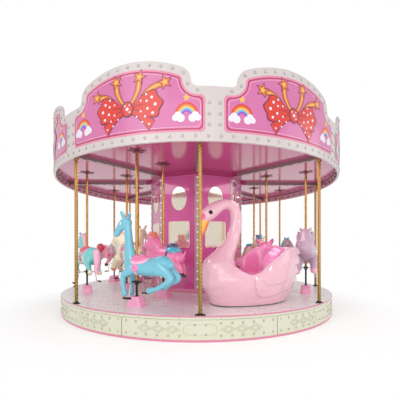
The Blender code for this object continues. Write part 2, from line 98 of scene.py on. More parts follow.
# The picture on a panel: from its edge to the panel's side and top, its foot and its corners' radius
PICTURE_SIDE = 0.105
PICTURE_TOP = 0.095
PICTURE_FOOT = 0.10
PICTURE_CORNER = 0.05
# The sheets under the print: how far each is set in, its finish and how far it stands off the crown
PICTURE_SHEETS = ((0.0, "band", 0.0008), (0.023, "line", 0.0016), (0.037, "field", 0.0024))
# The same for the broken line on them, with the length of a dash and half its width
DASHES = (0.052, 0.003)
DASH_STEP = 0.011
DASH_HALF = 0.0028
# How far the print's first layer stands off the crown, and each further layer off the one before
PRINT_PROUD = 0.0036
LAYER = 0.0005

# Edge of the small cubes that moulded skins are rebuilt from
VOXEL = 0.0115

# Radii of the lamps
CROWN_LAMP_R = 0.0135
INNER_LAMP_R = 0.018
SKIRT_LAMP_R = 0.011
COLUMN_LAMP_R = 0.017
BEAM_LAMP_R = 0.014

# How bright the white surround is as a light
SURROUND_LIGHT = 0.74


# Arithmetic on shader sockets

class Wire:
    """A shader socket that takes part in Python arithmetic and adds the Math nodes that it needs."""

    def __init__(self, shader, socket):
        self.shader = shader
        self.socket = socket

    def maths(self, operation, *others):
        return self.shader.node("ShaderNodeMath", {"operation": operation}, dict(enumerate((self, *others))))

    def __add__(self, other):
        return self.maths("ADD", other)

    def __radd__(self, other):
        return self.maths("ADD", other)

    def __sub__(self, other):
        return self.maths("SUBTRACT", other)

    def __rsub__(self, other):
        return self.shader.number(other).maths("SUBTRACT", self)

    def __mul__(self, other):
        return self.maths("MULTIPLY", other)

    def __truediv__(self, other):
        return self.maths("DIVIDE", other)

    def __gt__(self, other):
        return self.maths("GREATER_THAN", other)

    def __lt__(self, other):
        return self.maths("LESS_THAN", other)

    def clamped(self):
        return self.maths("MINIMUM", 1.0).maths("MAXIMUM", 0.0)

    def size(self):
        return self.maths("ABSOLUTE")

    def part(self):
        """What is left of the number after its whole part is taken away."""
        return self.maths("FRACT")


class Shader:
    """A material under construction, with one method that adds any node."""

    def __init__(self, name):
        self.material = bpy.data.materials.new(name)
        self.material.use_nodes = True
        self.tree = self.material.node_tree
        self.surface = self.tree.nodes["Principled BSDF"]

    def join(self, value, socket):
        if isinstance(value, Wire):
            self.tree.links.new(value.socket, socket)
        elif hasattr(socket.default_value, "__len__") and len(socket.default_value) == 4:
            socket.default_value = (*value, 1)
        else:
            socket.default_value = value

    def node(self, kind, settings=None, inputs=None, output=0):
        node = self.tree.nodes.new(kind)
        for name, value in (settings or {}).items():
            setattr(node, name, value)
        for name, value in (inputs or {}).items():
            self.join(value, node.inputs[name])
        return Wire(self, node.outputs[output])

    def number(self, value):
        node = self.tree.nodes.new("ShaderNodeValue")
        node.outputs[0].default_value = value
        return Wire(self, node.outputs[0])

    def place(self):
        """The point of the surface in the ride's own frame, in metres."""
        return self.node("ShaderNodeTexCoord", output="Object")

    def axes(self):
        split = self.node("ShaderNodeSeparateXYZ", None, {0: self.place()})
        return [Wire(self, part) for part in split.socket.node.outputs]

    def noise(self, scale, detail=2.0):
        inputs = {"Vector": self.place(), "Scale": scale, "Detail": detail}
        return self.node("ShaderNodeTexNoise", None, inputs)

    def blend(self, amount, first, second):
        """One colour turned into another as the amount goes from 0 to 1."""
        return self.node("ShaderNodeMix", {"data_type": "RGBA"}, {0: amount, 6: first, 7: second}, 2)

    def bump(self, height, distance):
        return self.node("ShaderNodeBump", None, {"Height": height, "Distance": distance, "Strength": 1.0})

    def finish(self, **inputs):
        for name, value in inputs.items():
            self.join(value, self.surface.inputs[name.replace("_", " ")])
        return self.material


def shade(red, green, blue):
    """A colour as it reads on screen, from 0 to 255, turned into the linear values that shaders take."""
    values = np.array([red, green, blue]) / 255
    return tuple(np.where(values <= 0.04045, values / 12.92, ((values + 0.055) / 1.055) ** 2.4).tolist())


# Finishes

def gloss(name, colour, roughness, coat, mottle):
    """Gel-coated or painted skin: a faint drift of tone, fine orange peel and a clear coat."""
    s = Shader(name)
    drift = s.noise(2.5)
    pale = tuple(min(1.0, c * (1 + mottle)) for c in colour)
    deep = tuple(c * (1 - mottle) for c in colour)
    peel = s.noise(90.0, 1.0)
    return s.finish(
        Base_Color=s.blend(drift, deep, pale),
        Roughness=roughness - 0.06 + drift * 0.12,
        Normal=s.bump(peel, 0.0004),
        Coat_Weight=coat,
        Coat_Roughness=0.06,
    )


def painted_fibreglass(name, roughness=0.18, coat=0.65, feathered=False):
    """Gel coat in the piece's own paint, over hand-laid moulding: cupped like down on the swans."""
    s = Shader(name)
    if feathered:
        carved = s.node("ShaderNodeTexVoronoi", {"feature": "SMOOTH_F1"},
                        {"Vector": s.place(), "Scale": 15.0})
    else:
        carved = s.noise(16.0, 1.0)
    paint = s.node("ShaderNodeVertexColor", {"layer_name": "paint"})
    drift = s.noise(5.0)
    worn = s.blend(0.08, paint, (1.0, 0.92, 0.95))
    return s.finish(
        Base_Color=s.blend(drift, paint, worn),
        Roughness=roughness - 0.05 + drift * 0.1,
        Normal=s.bump(carved + s.noise(45.0, 1.0) * 0.12, 0.008),
        Coat_Weight=coat,
        Coat_Roughness=0.05,
    )


def gold_metal(name, colour, roughness=0.24):
    """Brassy plating, duller in random patches of tarnish, and browner and darker from about 1.2 m down
    towards the deck.
    """
    s = Shader(name)
    _, _, height = s.axes()
    tarnish = s.noise(14.0, 4.0)
    low = (1.0 - (height - 0.3) / 0.9).clamped() * 0.75 + tarnish * 0.25
    return s.finish(
        Base_Color=s.blend(low, colour, shade(122, 104, 40)),
        Metallic=0.7,
        Roughness=roughness + tarnish * 0.14,
        Normal=s.bump(s.noise(160.0, 1.0), 0.0002),
    )


def tread_plate(name):
    """Bright steel plate with staggered rows of raised lens-shaped treads, the treads painted lighter as a
    painted highlight.
    """
    s = Shader(name)
    x, y, _ = s.axes()
    row, along = (x * 0.966 + y * 0.259) / 0.034 + 200.0, (y * 0.966 - x * 0.259) / 0.062 + 200.0
    shifted = along + (row.maths("FLOOR") / 2.0).part()
    u, v = row.part() - 0.5, shifted.part() - 0.5
    lens = (1.0 - (u * 3.2).maths("POWER", 2.0) - (v * 2.3).maths("POWER", 2.0)).clamped()
    scuff = s.noise(7.0, 5.0)
    plain = s.blend(scuff, shade(224, 218, 216), shade(246, 242, 240))
    return s.finish(
        # Painted highlight: the raised treads are painted near white over the plate.
        Base_Color=s.blend((lens * 2.0).clamped(), plain, shade(255, 253, 253)),
        Metallic=0.25,
        Roughness=0.2 + scuff * 0.2,
        Normal=s.bump(lens, 0.0012),
    )


def mirror_glass(name):
    """Silvered acrylic sheet, a little cloudy and warm."""
    s = Shader(name)
    haze = s.noise(3.0, 3.0)
    return s.finish(
        Base_Color=s.blend(haze, shade(240, 230, 208), shade(250, 242, 226)),
        Metallic=0.8,
        Roughness=0.05 + haze * 0.08,
    )


def lamp_cap(name, colour, glow):
    """Milky plastic lens of a small lamp, lit from inside very faintly."""
    s = Shader(name)
    return s.finish(
        Base_Color=s.blend(s.noise(60.0), colour, shade(250, 248, 246)),
        Roughness=0.16,
        Coat_Weight=0.6,
        Emission_Color=colour,
        Emission_Strength=glow,
    )


def metal(name, colour, roughness, metallic=1.0, grain=0.0002):
    """Plain plated or painted metal with fine handling marks."""
    s = Shader(name)
    marks = s.noise(40.0, 4.0)
    deep = tuple(c * 0.82 for c in colour)
    return s.finish(
        Base_Color=s.blend(marks, deep, colour),
        Metallic=metallic,
        Roughness=roughness + marks * 0.1,
        Normal=s.bump(marks, grain),
    )


def beam_metal(name, colour, collar_colour):
    """Satin metal on the beams, and the ceiling's gloss on the collar that holds them round the column."""
    s = Shader(name)
    x, y, _ = s.axes()
    collar = (x * x + y * y) < 1.0
    marks = s.noise(40.0, 4.0)
    deep = tuple(c * 0.82 for c in colour)
    return s.finish(
        Base_Color=s.blend(collar, s.blend(marks, deep, colour), collar_colour),
        Metallic=0.75 - collar * 0.75,
        Roughness=0.24 + marks * 0.1 - collar * 0.1,
    )


def striped_roof(name):
    """Wide pink and cream stripes that run from the top of the roof to its edge."""
    s = Shader(name)
    x, y, _ = s.axes()
    turn = y.maths("ARCTAN2", x) / TAU * 16.0 + 32.0
    stripe = (turn.part() - 0.5).size() > 0.25
    dust = s.noise(3.0, 5.0)
    clean = s.blend(stripe, shade(238, 150, 186), shade(248, 228, 226))
    return s.finish(
        Base_Color=s.blend(dust * 0.35, clean, shade(205, 180, 180)),
        Roughness=0.34 + dust * 0.2,
        Normal=s.bump(dust, 0.001),
    )


def make_finishes():
    return {
        "border": gloss("crown_border", shade(200, 190, 188), 0.34, 0.3, 0.03),
        "band": gloss("pale_pink_print", shade(214, 134, 162), 0.3, 0.4, 0.03),
        "line": gloss("crimson_print", shade(176, 36, 78), 0.3, 0.4, 0.02),
        "field": gloss("orchid_print", shade(200, 108, 158), 0.26, 0.4, 0.05),
        "dash": gloss("cream_print", shade(250, 214, 226), 0.3, 0.4, 0.02),
        "red_print": gloss("vermilion_print", shade(208, 52, 40), 0.26, 0.5, 0.08),
        "crimson_print": gloss("deep_red_print", shade(176, 34, 40), 0.26, 0.5, 0.05),
        "outline_print": gloss("outline_print", shade(112, 26, 56), 0.26, 0.5, 0.05),
        "orange_print": gloss("orange_print", shade(216, 116, 56), 0.26, 0.5, 0.08),
        "white_print": gloss("white_print", shade(226, 218, 230), 0.26, 0.5, 0.03),
        "sky_print": gloss("sky_print", shade(96, 176, 220), 0.26, 0.5, 0.05),
        "yellow_print": gloss("yellow_print", shade(236, 182, 84), 0.26, 0.5, 0.05),
        "violet_print": gloss("violet_print", shade(150, 70, 190), 0.26, 0.5, 0.05),
        "cream": gloss("cream_skirt", shade(212, 211, 188), 0.36, 0.3, 0.03),
        # Painted shade: the relief is painted darker than the board it is moulded in, for the shading along
        # its ridges.
        "relief": gloss("skirt_relief", shade(199, 198, 174), 0.28, 0.5, 0.02),
        "skirt_lamp": gloss("skirt_lamp", shade(186, 182, 170), 0.16, 0.8, 0.05),
        "pink_trim": gloss("pink_trim", shade(216, 128, 158), 0.25, 0.6, 0.04),
        "pale_pink": gloss("pale_pink_panel", shade(247, 164, 200), 0.24, 0.6, 0.04),
        "inside": gloss("crown_inside", shade(222, 172, 190), 0.2, 0.6, 0.06),
        "magenta": gloss("column_magenta", shade(206, 84, 152), 0.16, 0.8, 0.1),
        "ceiling": gloss("ceiling_gloss", shade(186, 66, 122), 0.14, 0.4, 0.12),
        "gold": gold_metal("post_gold", shade(196, 150, 84)),
        "pole_gold": gold_metal("pole_gold", shade(200, 146, 84), 0.2),
        "deck": tread_plate("tread_plate"),
        "silver": metal("bright_steel", shade(215, 208, 206), 0.2),
        "strip": gloss("column_strip", shade(188, 158, 154), 0.2, 0.6, 0.04),
        "beam": beam_metal("beam_metal", shade(160, 136, 138), shade(176, 58, 112)),
        "maroon": gloss("maroon_rosette", shade(112, 36, 62), 0.45, 0.0, 0.1),
        "smoke": gloss("smoked_lens", shade(96, 74, 88), 0.16, 0.8, 0.05),
        "black": metal("black_paint", shade(26, 22, 24), 0.34, 0.3),
        "rubber": metal("black_rubber", shade(24, 22, 24), 0.7, 0.0, 0.0006),
        "mirror": mirror_glass("mirror_sheet"),
        "lamp": lamp_cap("lamp_cap", shade(246, 240, 232), 0.25),
        "lamp_ring": metal("lamp_ring", shade(168, 160, 160), 0.3, 0.9),
        "crown_lamp": gloss("crown_lamp", shade(186, 182, 182), 0.16, 0.8, 0.05),
        "roof": striped_roof("striped_roof"),
        "frame_rim": gloss("mirror_rim", shade(240, 214, 190), 0.25, 0.5, 0.05),
        "fibreglass": painted_fibreglass("painted_fibreglass"),
        "feathered": painted_fibreglass("swan_fibreglass", 0.13, 0.6, True),
    }


# Shapes from grids of points

def link(name, data):
    """A new object with this data, in the scene."""
    item = bpy.data.objects.new(name, data)
    bpy.context.scene.collection.objects.link(item)
    return item


def turns(count):
    """Angles at equal steps once round."""
    return np.linspace(0, TAU, count, endpoint=False)


def circle(count):
    """Points at equal steps round a circle of radius 1."""
    return np.column_stack([np.cos(turns(count)), np.sin(turns(count))])


def at_height(outline, height):
    """Flat points, all lifted to one height."""
    return np.column_stack([outline, np.full(len(outline), height)])


def ring_stack(rows, turn, squash=1.0):
    """Rings of (radius, height) at these turns. Both can change on the way round."""
    return np.array([np.stack(np.broadcast_arrays(
        radius * np.cos(turn), squash * radius * np.sin(turn), height), axis=-1) for radius, height in rows])


def both_sides(half):
    """A line of (across, up) points from the middle outwards, with its mirror image before it."""
    return np.concatenate([half[:0:-1] * [-1, 1], half])


def grid_faces(rows, columns, wrap_rows=False, wrap_columns=False):
    """Quads of a grid of rows by columns points, as indices, with either way joined end to start."""
    i = np.arange(rows if wrap_rows else rows - 1)[:, None]
    j = np.arange(columns if wrap_columns else columns - 1)[None, :]
    below, right = (i + 1) % rows, (j + 1) % columns
    corners = [i * columns + j, i * columns + right, below * columns + right, below * columns + j]
    return np.stack(np.broadcast_arrays(*corners), axis=-1).reshape(-1, 4)


class Shape:
    """The points and faces of one piece, gathered surface by surface, each with its own finish."""

    def __init__(self):
        self.points = []
        self.faces = []
        self.finishes = []
        self.paints = []
        self.count = 0

    def add(self, points, faces, finish, paint=None):
        points = np.asarray(points, float).reshape(-1, 3)
        self.points.append(points)
        self.faces += [tuple(face) for face in (np.asarray(faces) + self.count).tolist()]
        self.finishes += [finish] * len(faces)
        if paint is not None:
            self.paints.append(np.broadcast_to(paint, points.shape))
        self.count += len(points)

    def grid(self, surface, finish, wrap_rows=False, wrap_columns=False, paint=None):
        rows, columns = surface.shape[:2]
        paint = None if paint is None else np.broadcast_to(paint, surface.shape).reshape(-1, 3)
        self.add(surface, grid_faces(rows, columns, wrap_rows, wrap_columns), finish, paint)

    def painted(self, surface, paint, finish="fibreglass"):
        self.grid(surface, finish, wrap_columns=True, paint=paint)

    def tube(self, surface, finish, paint=None):
        """A grid whose columns close on themselves, with both end rows drawn together in their middles."""
        first, last = surface[:1].mean(axis=1, keepdims=True), surface[-1:].mean(axis=1, keepdims=True)
        columns = surface.shape[1]
        ends = [np.repeat(first, columns, axis=1), surface, np.repeat(last, columns, axis=1)]
        self.grid(np.concatenate(ends), finish, wrap_columns=True, paint=paint)

    def copies(self, template, frames, finish):
        """The same round grid at each frame, a frame being a place and three directions as a 4 by 3 array."""
        frames = np.asarray(frames, float)
        local = template.reshape(-1, 3)
        placed = frames[:, None, 0] + np.einsum("pk,nkc->npc", local, frames[:, 1:])
        faces = grid_faces(*template.shape[:2], wrap_columns=True)
        every = faces[None] + (np.arange(len(frames)) * len(local))[:, None, None]
        self.add(placed, every.reshape(-1, 4), finish)

    def build(self, name, body, looks, closed=True, smooth_angle=40, outwards_from_axis=False):
        """Makes the object, with doubles merged, and sends the faces outwards round a closed shape, or away
        from the axis when asked.
        """
        order = list(dict.fromkeys(self.finishes))
        mesh = bpy.data.meshes.new(name)
        mesh.from_pydata(np.concatenate(self.points).tolist(), [], self.faces)
        mesh.polygons.foreach_set("material_index", [order.index(finish) for finish in self.finishes])
        if self.paints:
            layer = mesh.color_attributes.new("paint", "FLOAT_COLOR", "POINT")
            paint = np.concatenate(self.paints)
            layer.data.foreach_set("color", np.hstack([paint, np.ones((len(paint), 1))]).ravel())
        work = bmesh.new()
        work.from_mesh(mesh)
        bmesh.ops.remove_doubles(work, verts=work.verts, dist=1e-5)
        bmesh.ops.dissolve_degenerate(work, edges=work.edges, dist=1e-6)
        if closed:
            bmesh.ops.recalc_face_normals(work, faces=work.faces)
        elif outwards_from_axis:
            inward = [f for f in work.faces if f.normal.x * f.calc_center_median().x
                      + f.normal.y * f.calc_center_median().y < 0]
            bmesh.ops.reverse_faces(work, faces=inward)
        work.to_mesh(mesh)
        work.free()
        for finish in order:
            mesh.materials.append(looks[finish])
        mesh.shade_smooth()
        mesh.set_sharp_from_angle(angle=math.radians(smooth_angle))
        piece = link(name, mesh)
        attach(piece, body)
        return piece


def around(radius, turn, height):
    """Points on a cylinder round the axis: the turn is in radians from the front, positive towards +X."""
    radius, turn, height = np.broadcast_arrays(radius, turn, height)
    return np.stack([radius * np.sin(turn), -radius * np.cos(turn), height], axis=-1)


def outward_frames(radius, turn, height):
    """Frames on a cylinder whose third direction points away from the axis."""
    place = around(radius, turn, height)
    turn = np.broadcast_to(turn, place.shape[:-1])
    zero = np.zeros_like(turn)
    out = np.stack([np.sin(turn), -np.cos(turn), zero], axis=-1)
    side = np.stack([np.cos(turn), np.sin(turn), zero], axis=-1)
    up = np.broadcast_to([0.0, 0.0, 1.0], out.shape)
    return np.stack([place, side, up, out], axis=-2).reshape(-1, 4, 3)


def local_frame(origin, turn):
    """What puts points of (forward, outward, up) on the ride, with the way of travel square to this turn."""
    axes = np.array([(-math.cos(turn), -math.sin(turn), 0), (math.sin(turn), -math.cos(turn), 0), (0, 0, 1)])
    return lambda points: origin + np.asarray(points) @ axes


def deck_top():
    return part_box("deck")[1][2]


def labels(nodes, start):
    """What follows this start in the name of each node that has it."""
    return [name.removeprefix(start) for name in sorted(nodes) if name.startswith(start)]


def spaced(curve, step):
    """Points at about equal steps along a line of points."""
    length = np.concatenate([[0], np.cumsum(np.hypot(*np.diff(curve, axis=0).T))])
    count = max(2, round(length[-1] / step) + 1)
    share = np.linspace(0, length[-1], count)
    return np.stack([np.interp(share, length, curve[:, i]) for i in (0, 1)], axis=1)


def lathe(profile, sides):
    """A profile of (radius, height) points turned round the local third direction."""
    return ring_stack(profile, turns(sides))


def add_lamps(shape, frames, radius, cap="lamp"):
    """Lamps at these frames, each a collar and a dome that rises from it as a quarter circle."""
    collar = lathe([(radius * 1.25, 0), (radius * 1.25, radius * 0.22), (radius * 0.95, radius * 0.3)], 10)
    bend = np.linspace(0, math.pi / 2, 5)
    dome = np.stack([radius * np.cos(bend), radius * (0.2 + 0.85 * np.sin(bend))], axis=1)
    shape.copies(collar, frames, "lamp_ring")
    shape.copies(lathe(dome, 10), frames, cap)


# Crown

def edge_curve(inset):
    """Half of a panel's top edge moved inwards: arch, shoulder, fillet and flat, as arcs of moved radius."""
    arch_z = ARCH_RISE - ARCH_R
    shoulder_x = (ARCH_R - SHOULDER_R) * math.sin(ARCH_END)
    shoulder_z = arch_z + (ARCH_R - SHOULDER_R) * math.cos(ARCH_END)
    fillet_x = shoulder_x + (SHOULDER_R + FILLET_R) * math.sin(SHOULDER_END)
    fillet_z = shoulder_z + (SHOULDER_R + FILLET_R) * math.cos(SHOULDER_END)
    runs = []
    for centre, radius, start, end, count in (
        ((0, arch_z), ARCH_R - inset, 0, ARCH_END, 16),
        ((shoulder_x, shoulder_z), SHOULDER_R - inset, ARCH_END, SHOULDER_END, 14),
        ((fillet_x, fillet_z), -(FILLET_R + inset), SHOULDER_END, 0, 10),
    ):
        turn = np.linspace(start, end, count)
        runs.append(np.stack([centre[0] + radius * np.sin(turn), centre[1] + radius * np.cos(turn)], axis=1))
    return np.concatenate(runs)


def picture_outline(inset):
    """Columns of the picture moved inwards, between its foot and its top edge: (across, low, high)."""
    half_width = PANEL_HALF - PICTURE_SIDE - inset
    curve = edge_curve(PICTURE_TOP + inset)
    curve = curve[curve[:, 0] < half_width - 1e-4]
    last = np.linspace(curve[-1, 0], half_width, 14)[1:]
    half = np.concatenate([curve, np.stack([last, np.full(len(last), curve[-1, 1])], axis=1)])
    across, high = both_sides(half).T
    into = np.maximum(np.abs(across) - (half_width - PICTURE_CORNER), 0)
    rounding = PICTURE_CORNER - np.sqrt(np.maximum(PICTURE_CORNER**2 - into**2, 0))
    return across, PICTURE_FOOT + inset + rounding, high - rounding


def panel_turns():
    """The direction of the middle of each of the eight panels."""
    return CROWN_TURN + (np.arange(SECTORS) + 0.5) * SECTOR


def on_panels(flat, proud):
    """(Across, up) points put on each of the eight panels in turn, this far off the crown."""
    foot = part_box("crown")[0][2]
    for middle in panel_turns():
        yield around(CROWN_R + proud, middle + flat[..., 0] / CROWN_R, foot + flat[..., 1])


def add_motif(shape, outline, centre, proud, finish):
    """A flat shape printed on each panel: rings drawn from its outline to its middle."""
    share = np.array([1.0, 0.5, 0.02])[:, None, None]
    centre = np.asarray(centre)
    for surface in on_panels(centre + (outline - centre) * share, proud):
        shape.grid(surface, finish, wrap_columns=True)


def add_dot(shape, centre, radius, proud, finish, count=14, squash=1.0):
    add_motif(shape, centre + radius * circle(count) * [1, squash], centre, proud, finish)


def star_outline(centre, radius, turn=math.pi / 2):
    """A star of five points: corners go in and out between the full radius and less than half of it."""
    angle = turn + np.arange(10) * math.pi / 5
    reach = np.where(np.arange(10) % 2 == 0, radius, radius * 0.45)
    return np.stack([centre[0] + reach * np.cos(angle), centre[1] + reach * np.sin(angle)], axis=1)


def ribbon(start, end, bow, wide, narrow):
    """The two edges of a band between two points that bows to one side and changes width on its way."""
    start, end = np.asarray(start, float), np.asarray(end, float)
    share = np.linspace(0, 1, 12)[:, None]
    way = end - start
    side = np.array([-way[1], way[0]]) / np.hypot(*way)
    line = start + way * share + side * bow * np.sin(math.pi * share)
    half = (wide + (narrow - wide) * share) / 2
    return line + side * half, line - side * half


def add_strip(shape, edges, proud, finish):
    """A strip printed on each panel between two lines."""
    for surface in on_panels(np.stack(edges, axis=1), proud):
        shape.grid(surface, finish)


def bow_loop(side, length, spread):
    """One loop of a bow, as a wedge that fans out from the knot and is round at its far end."""
    fan = np.linspace(-1, 1, 26)
    reach = length * (1 - np.abs(fan) ** 3.2) ** 0.42 * (1 + 0.05 * np.cos(fan * 9))
    angle = 0.10 + fan * spread
    return np.stack([side * (0.02 + reach * np.cos(angle)), BOW_Z + reach * np.sin(angle)], axis=1)


# Height of the bow's knot over the crown's foot
BOW_Z = 0.40
# Spots and puffs: (across, up, radius) from the knot and from the foot of the rainbow
LOOP_SPOTS = ((0.30, 0.10, 0.019), (0.34, 0.02, 0.021), (0.31, -0.075, 0.019), (0.24, 0.065, 0.016),
              (0.25, -0.02, 0.018), (0.17, 0.075, 0.013), (0.17, -0.045, 0.014), (0.235, 0.14, 0.015),
              (0.22, -0.105, 0.014), (0.12, -0.10, 0.012), (0.19, -0.165, 0.013), (0.27, -0.195, 0.014))
LOOP_SPOT_SIZE = 0.86
KNOT_SPOTS = ((0.0, 0.0, 0.02), (-0.03, 0.04, 0.011), (0.032, -0.036, 0.011), (0.028, 0.042, 0.009))
CLOUD_PUFFS = ((-0.125, -0.015, 0.036), (-0.065, -0.02, 0.045), (-0.095, 0.012, 0.04),
               (0.065, -0.02, 0.045), (0.125, -0.015, 0.036), (0.095, 0.012, 0.04))
# Stars: where the tail starts, where the star is, and how far the tail bows
STARS = (((-0.12, 0.42), (-0.44, 0.615), -0.05), ((-0.05, 0.46), (-0.15, 0.735), 0.03),
         ((0.05, 0.46), (0.15, 0.745), -0.03), ((0.12, 0.42), (0.45, 0.655), 0.05))
# Widths of a tail at its two ends and the radius of its star, from the outline inwards
STAR_LAYERS = ((0.051, 0.091, 0.092, "outline_print"), (0.035, 0.075, 0.076, "orange_print"),
               (0.008, 0.022, 0.036, "yellow_print"))
RAINBOW_FOOT = (0.69, 0.27)
RAINBOW_R = 0.135
RAINBOW_BAND = 0.018


def add_stars(shape):
    """Four stars with broad tails that fan out from behind the bow."""
    for start, end, bow in STARS:
        lean = math.atan2(end[1] - start[1], end[0] - start[0])
        for i, (wide, narrow, radius, finish) in enumerate(STAR_LAYERS):
            add_strip(shape, ribbon(start, end, bow, wide, narrow), PRINT_PROUD + LAYER * i, finish)
            star = star_outline(end, radius, lean)
            add_motif(shape, star, end, PRINT_PROUD + LAYER * (3 + i), finish)


def add_bow(shape, layer):
    """A big polka-dot bow: two tails, two loops with a fold in each, and the knot."""
    for side in (-1, 1):
        tail = ((side * 0.02, BOW_Z - 0.02), (side * 0.30, 0.185), side * 0.03)
        for i, (more, finish) in enumerate(((0.02, "outline_print"), (0.0, "red_print"))):
            add_strip(shape, ribbon(*tail, 0.04 + more, 0.11 + more), layer + LAYER * i, finish)
        for i, (more, finish) in enumerate(((0.012, "outline_print"), (0.0, "red_print"))):
            loop = bow_loop(side, 0.385 + more, 0.62 + more * 3)
            add_motif(shape, loop, (side * 0.22, BOW_Z + 0.02), layer + LAYER * (2 + i), finish)
        crease = ((side * 0.05, BOW_Z + 0.005), (side * 0.20, BOW_Z + 0.03), side * 0.012)
        upper, lower = ribbon(*crease, 0.04, 0.008)
        fold = np.concatenate([upper, lower[::-1]])
        add_motif(shape, fold, fold.mean(axis=0), layer + LAYER * 4, "crimson_print")
        for across, up, radius in LOOP_SPOTS:
            spot = (side * across, BOW_Z + up)
            add_dot(shape, spot, radius * LOOP_SPOT_SIZE, layer + LAYER * 5, "white_print")
    for i, (radius, finish) in enumerate(((0.078, "outline_print"), (0.066, "red_print"))):
        add_dot(shape, (0, BOW_Z), radius, layer + LAYER * (6 + i), finish, 28, 1.15)
    for across, up, radius in KNOT_SPOTS:
        add_dot(shape, (across, BOW_Z + up), radius, layer + LAYER * 8, "white_print")


def add_print(shape):
    """The picture on each panel: a spotted bow over four shooting stars, and a rainbow at each side."""
    add_stars(shape)
    add_bow(shape, PRINT_PROUD + LAYER * 6)
    bend = np.linspace(0, math.pi, 20)
    arc = np.stack([np.cos(bend), 1.15 * np.sin(bend)], axis=1)
    for side in (-1, 1):
        centre = np.array(RAINBOW_FOOT) * [side, 1]
        for i, colour in enumerate(("red", "orange", "yellow", "sky", "violet")):
            reach = RAINBOW_R - RAINBOW_BAND * i
            edges = (centre + arc * reach, centre + arc * (reach - RAINBOW_BAND))
            add_strip(shape, edges, PRINT_PROUD, f"{colour}_print")
        for i, (across, up, radius) in enumerate(CLOUD_PUFFS):
            layer = PRINT_PROUD + LAYER * (i % 3 + 1)
            add_dot(shape, centre + [across, up], radius, layer, "white_print", 28)
        star = centre + [0, 0.205]
        add_motif(shape, star_outline(star, 0.045), star, PRINT_PROUD + LAYER, "yellow_print")


def add_dashes(shape, inset, proud):
    """A fine broken line round each picture: every second step of its outline."""
    across, low, high = picture_outline(inset)
    path = np.concatenate([np.stack([across, high], axis=1), np.stack([across, low], axis=1)[::-1]])
    line = spaced(np.concatenate([path, path[:1]]), DASH_STEP)
    starts, ends = line[:-1:2], line[1::2]
    way = ends - starts
    side = np.stack([-way[:, 1], way[:, 0]], axis=1) / np.hypot(*way.T)[:, None] * DASH_HALF
    corners = np.stack([starts - side, ends - side, ends + side, starts + side], axis=1)
    for surface in on_panels(corners, proud):
        shape.add(surface, np.arange(4 * len(ends)).reshape(-1, 4), "dash")


def crown_board():
    """The board's wall: outer face, a rolled top edge, the inner face and the foot, all round."""
    edge = edge_curve(0)
    across, high = both_sides(np.concatenate([edge, [[PANEL_HALF, edge[-1, 1]]]]))[:-1].T
    turn = (panel_turns()[:, None] + across / CROWN_R).ravel()
    top = np.tile(high, SECTORS)[:, None]
    lip, inner = 0.004, CROWN_R - CROWN_T
    # Radius, share of the height and what is added to it
    section = [(CROWN_R, 0, 0), (CROWN_R, 0.25, 0), (CROWN_R, 0.5, 0), (CROWN_R, 0.8, 0), (CROWN_R, 1, -lip),
               (CROWN_R - lip, 1, 0), (inner + lip, 1, 0), (inner, 1, -lip), (inner, 0.5, 0), (inner, 0, 0)]
    radius, share, more = np.array(section).T
    return around(radius, turn[:, None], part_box("crown")[0][2] + top * share + more)


def add_crown(looks):
    board = Shape()
    wall = crown_board()
    board.grid(wall[:, :7], "border", wrap_rows=True)
    board.grid(wall[:, 6:], "inside", wrap_rows=True)
    board.grid(wall[:, [9, 0]], "border", wrap_rows=True)
    piece = board.build("crown_board", "turntable", looks)
    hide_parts("crown")
    picture = Shape()
    share = np.linspace(0, 1, 3)[:, None]
    for inset, finish, proud in PICTURE_SHEETS:
        across, low, high = picture_outline(inset)
        sheet = np.stack(np.broadcast_arrays(across, low + (high - low) * share), axis=-1)
        for surface in on_panels(sheet, proud):
            picture.grid(surface, finish)
    add_dashes(picture, *DASHES)
    add_print(picture)
    picture.build("crown_print", "turntable", looks, closed=False, outwards_from_axis=True)
    add_crown_lamps(looks)


def add_crown_lamps(looks):
    """Lamps along the foot, up both sides of every seam and along the top edge of each panel."""
    low_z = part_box("crown")[0][2]
    edge = edge_curve(0.05)
    top = spaced(edge[edge[:, 0] < PANEL_HALF - 0.07], 0.142)
    top = np.concatenate([top * [-1, 1], top[1:]])
    per_foot, foot_z = 14, 0.055
    across = (np.arange(per_foot) - (per_foot - 1) / 2) * (2 * PANEL_HALF / per_foot)
    foot = np.stack([across, np.full(per_foot, foot_z)], axis=1)
    sides = [(s * (PANEL_HALF - 0.06), z) for s in (-1, 1) for z in (0.18, 0.30, 0.42)]
    across, up = np.concatenate([top, foot, sides]).T
    shape = Shape()
    for middle in panel_turns():
        frames = outward_frames(CROWN_R, middle + across / CROWN_R, low_z + up)
        add_lamps(shape, frames, CROWN_LAMP_R, "crown_lamp")
    inner = outward_frames(CROWN_R - CROWN_T, turns(80), low_z + foot_z)
    inner[:, [1, 3]] *= -1
    add_lamps(shape, inner, INNER_LAMP_R, "smoke")
    shape.build("crown_lamps", "turntable", looks)


# Skirt and deck

def ridge(shape, path, width):
    """A low rounded ridge along a line of (turn, height) points on the skirt."""
    height = 0.0055
    way = np.gradient(path * [FASCIA_R, 1], axis=0)
    way /= np.linalg.norm(way, axis=1, keepdims=True)
    bend = np.linspace(0, math.pi, 5)
    side = np.stack([-way[:, 1], way[:, 0]], axis=1)[:, None] * (width / 2 * np.cos(bend))[:, None]
    turn = path[:, None, 0] + side[..., 0] / FASCIA_R
    surface = around(FASCIA_R + height * np.sin(bend) - 0.0003, turn, path[:, None, 1] + side[..., 1])
    # The relief finish is darker than the board: painted shade along the ridge.
    shape.grid(surface, "relief")


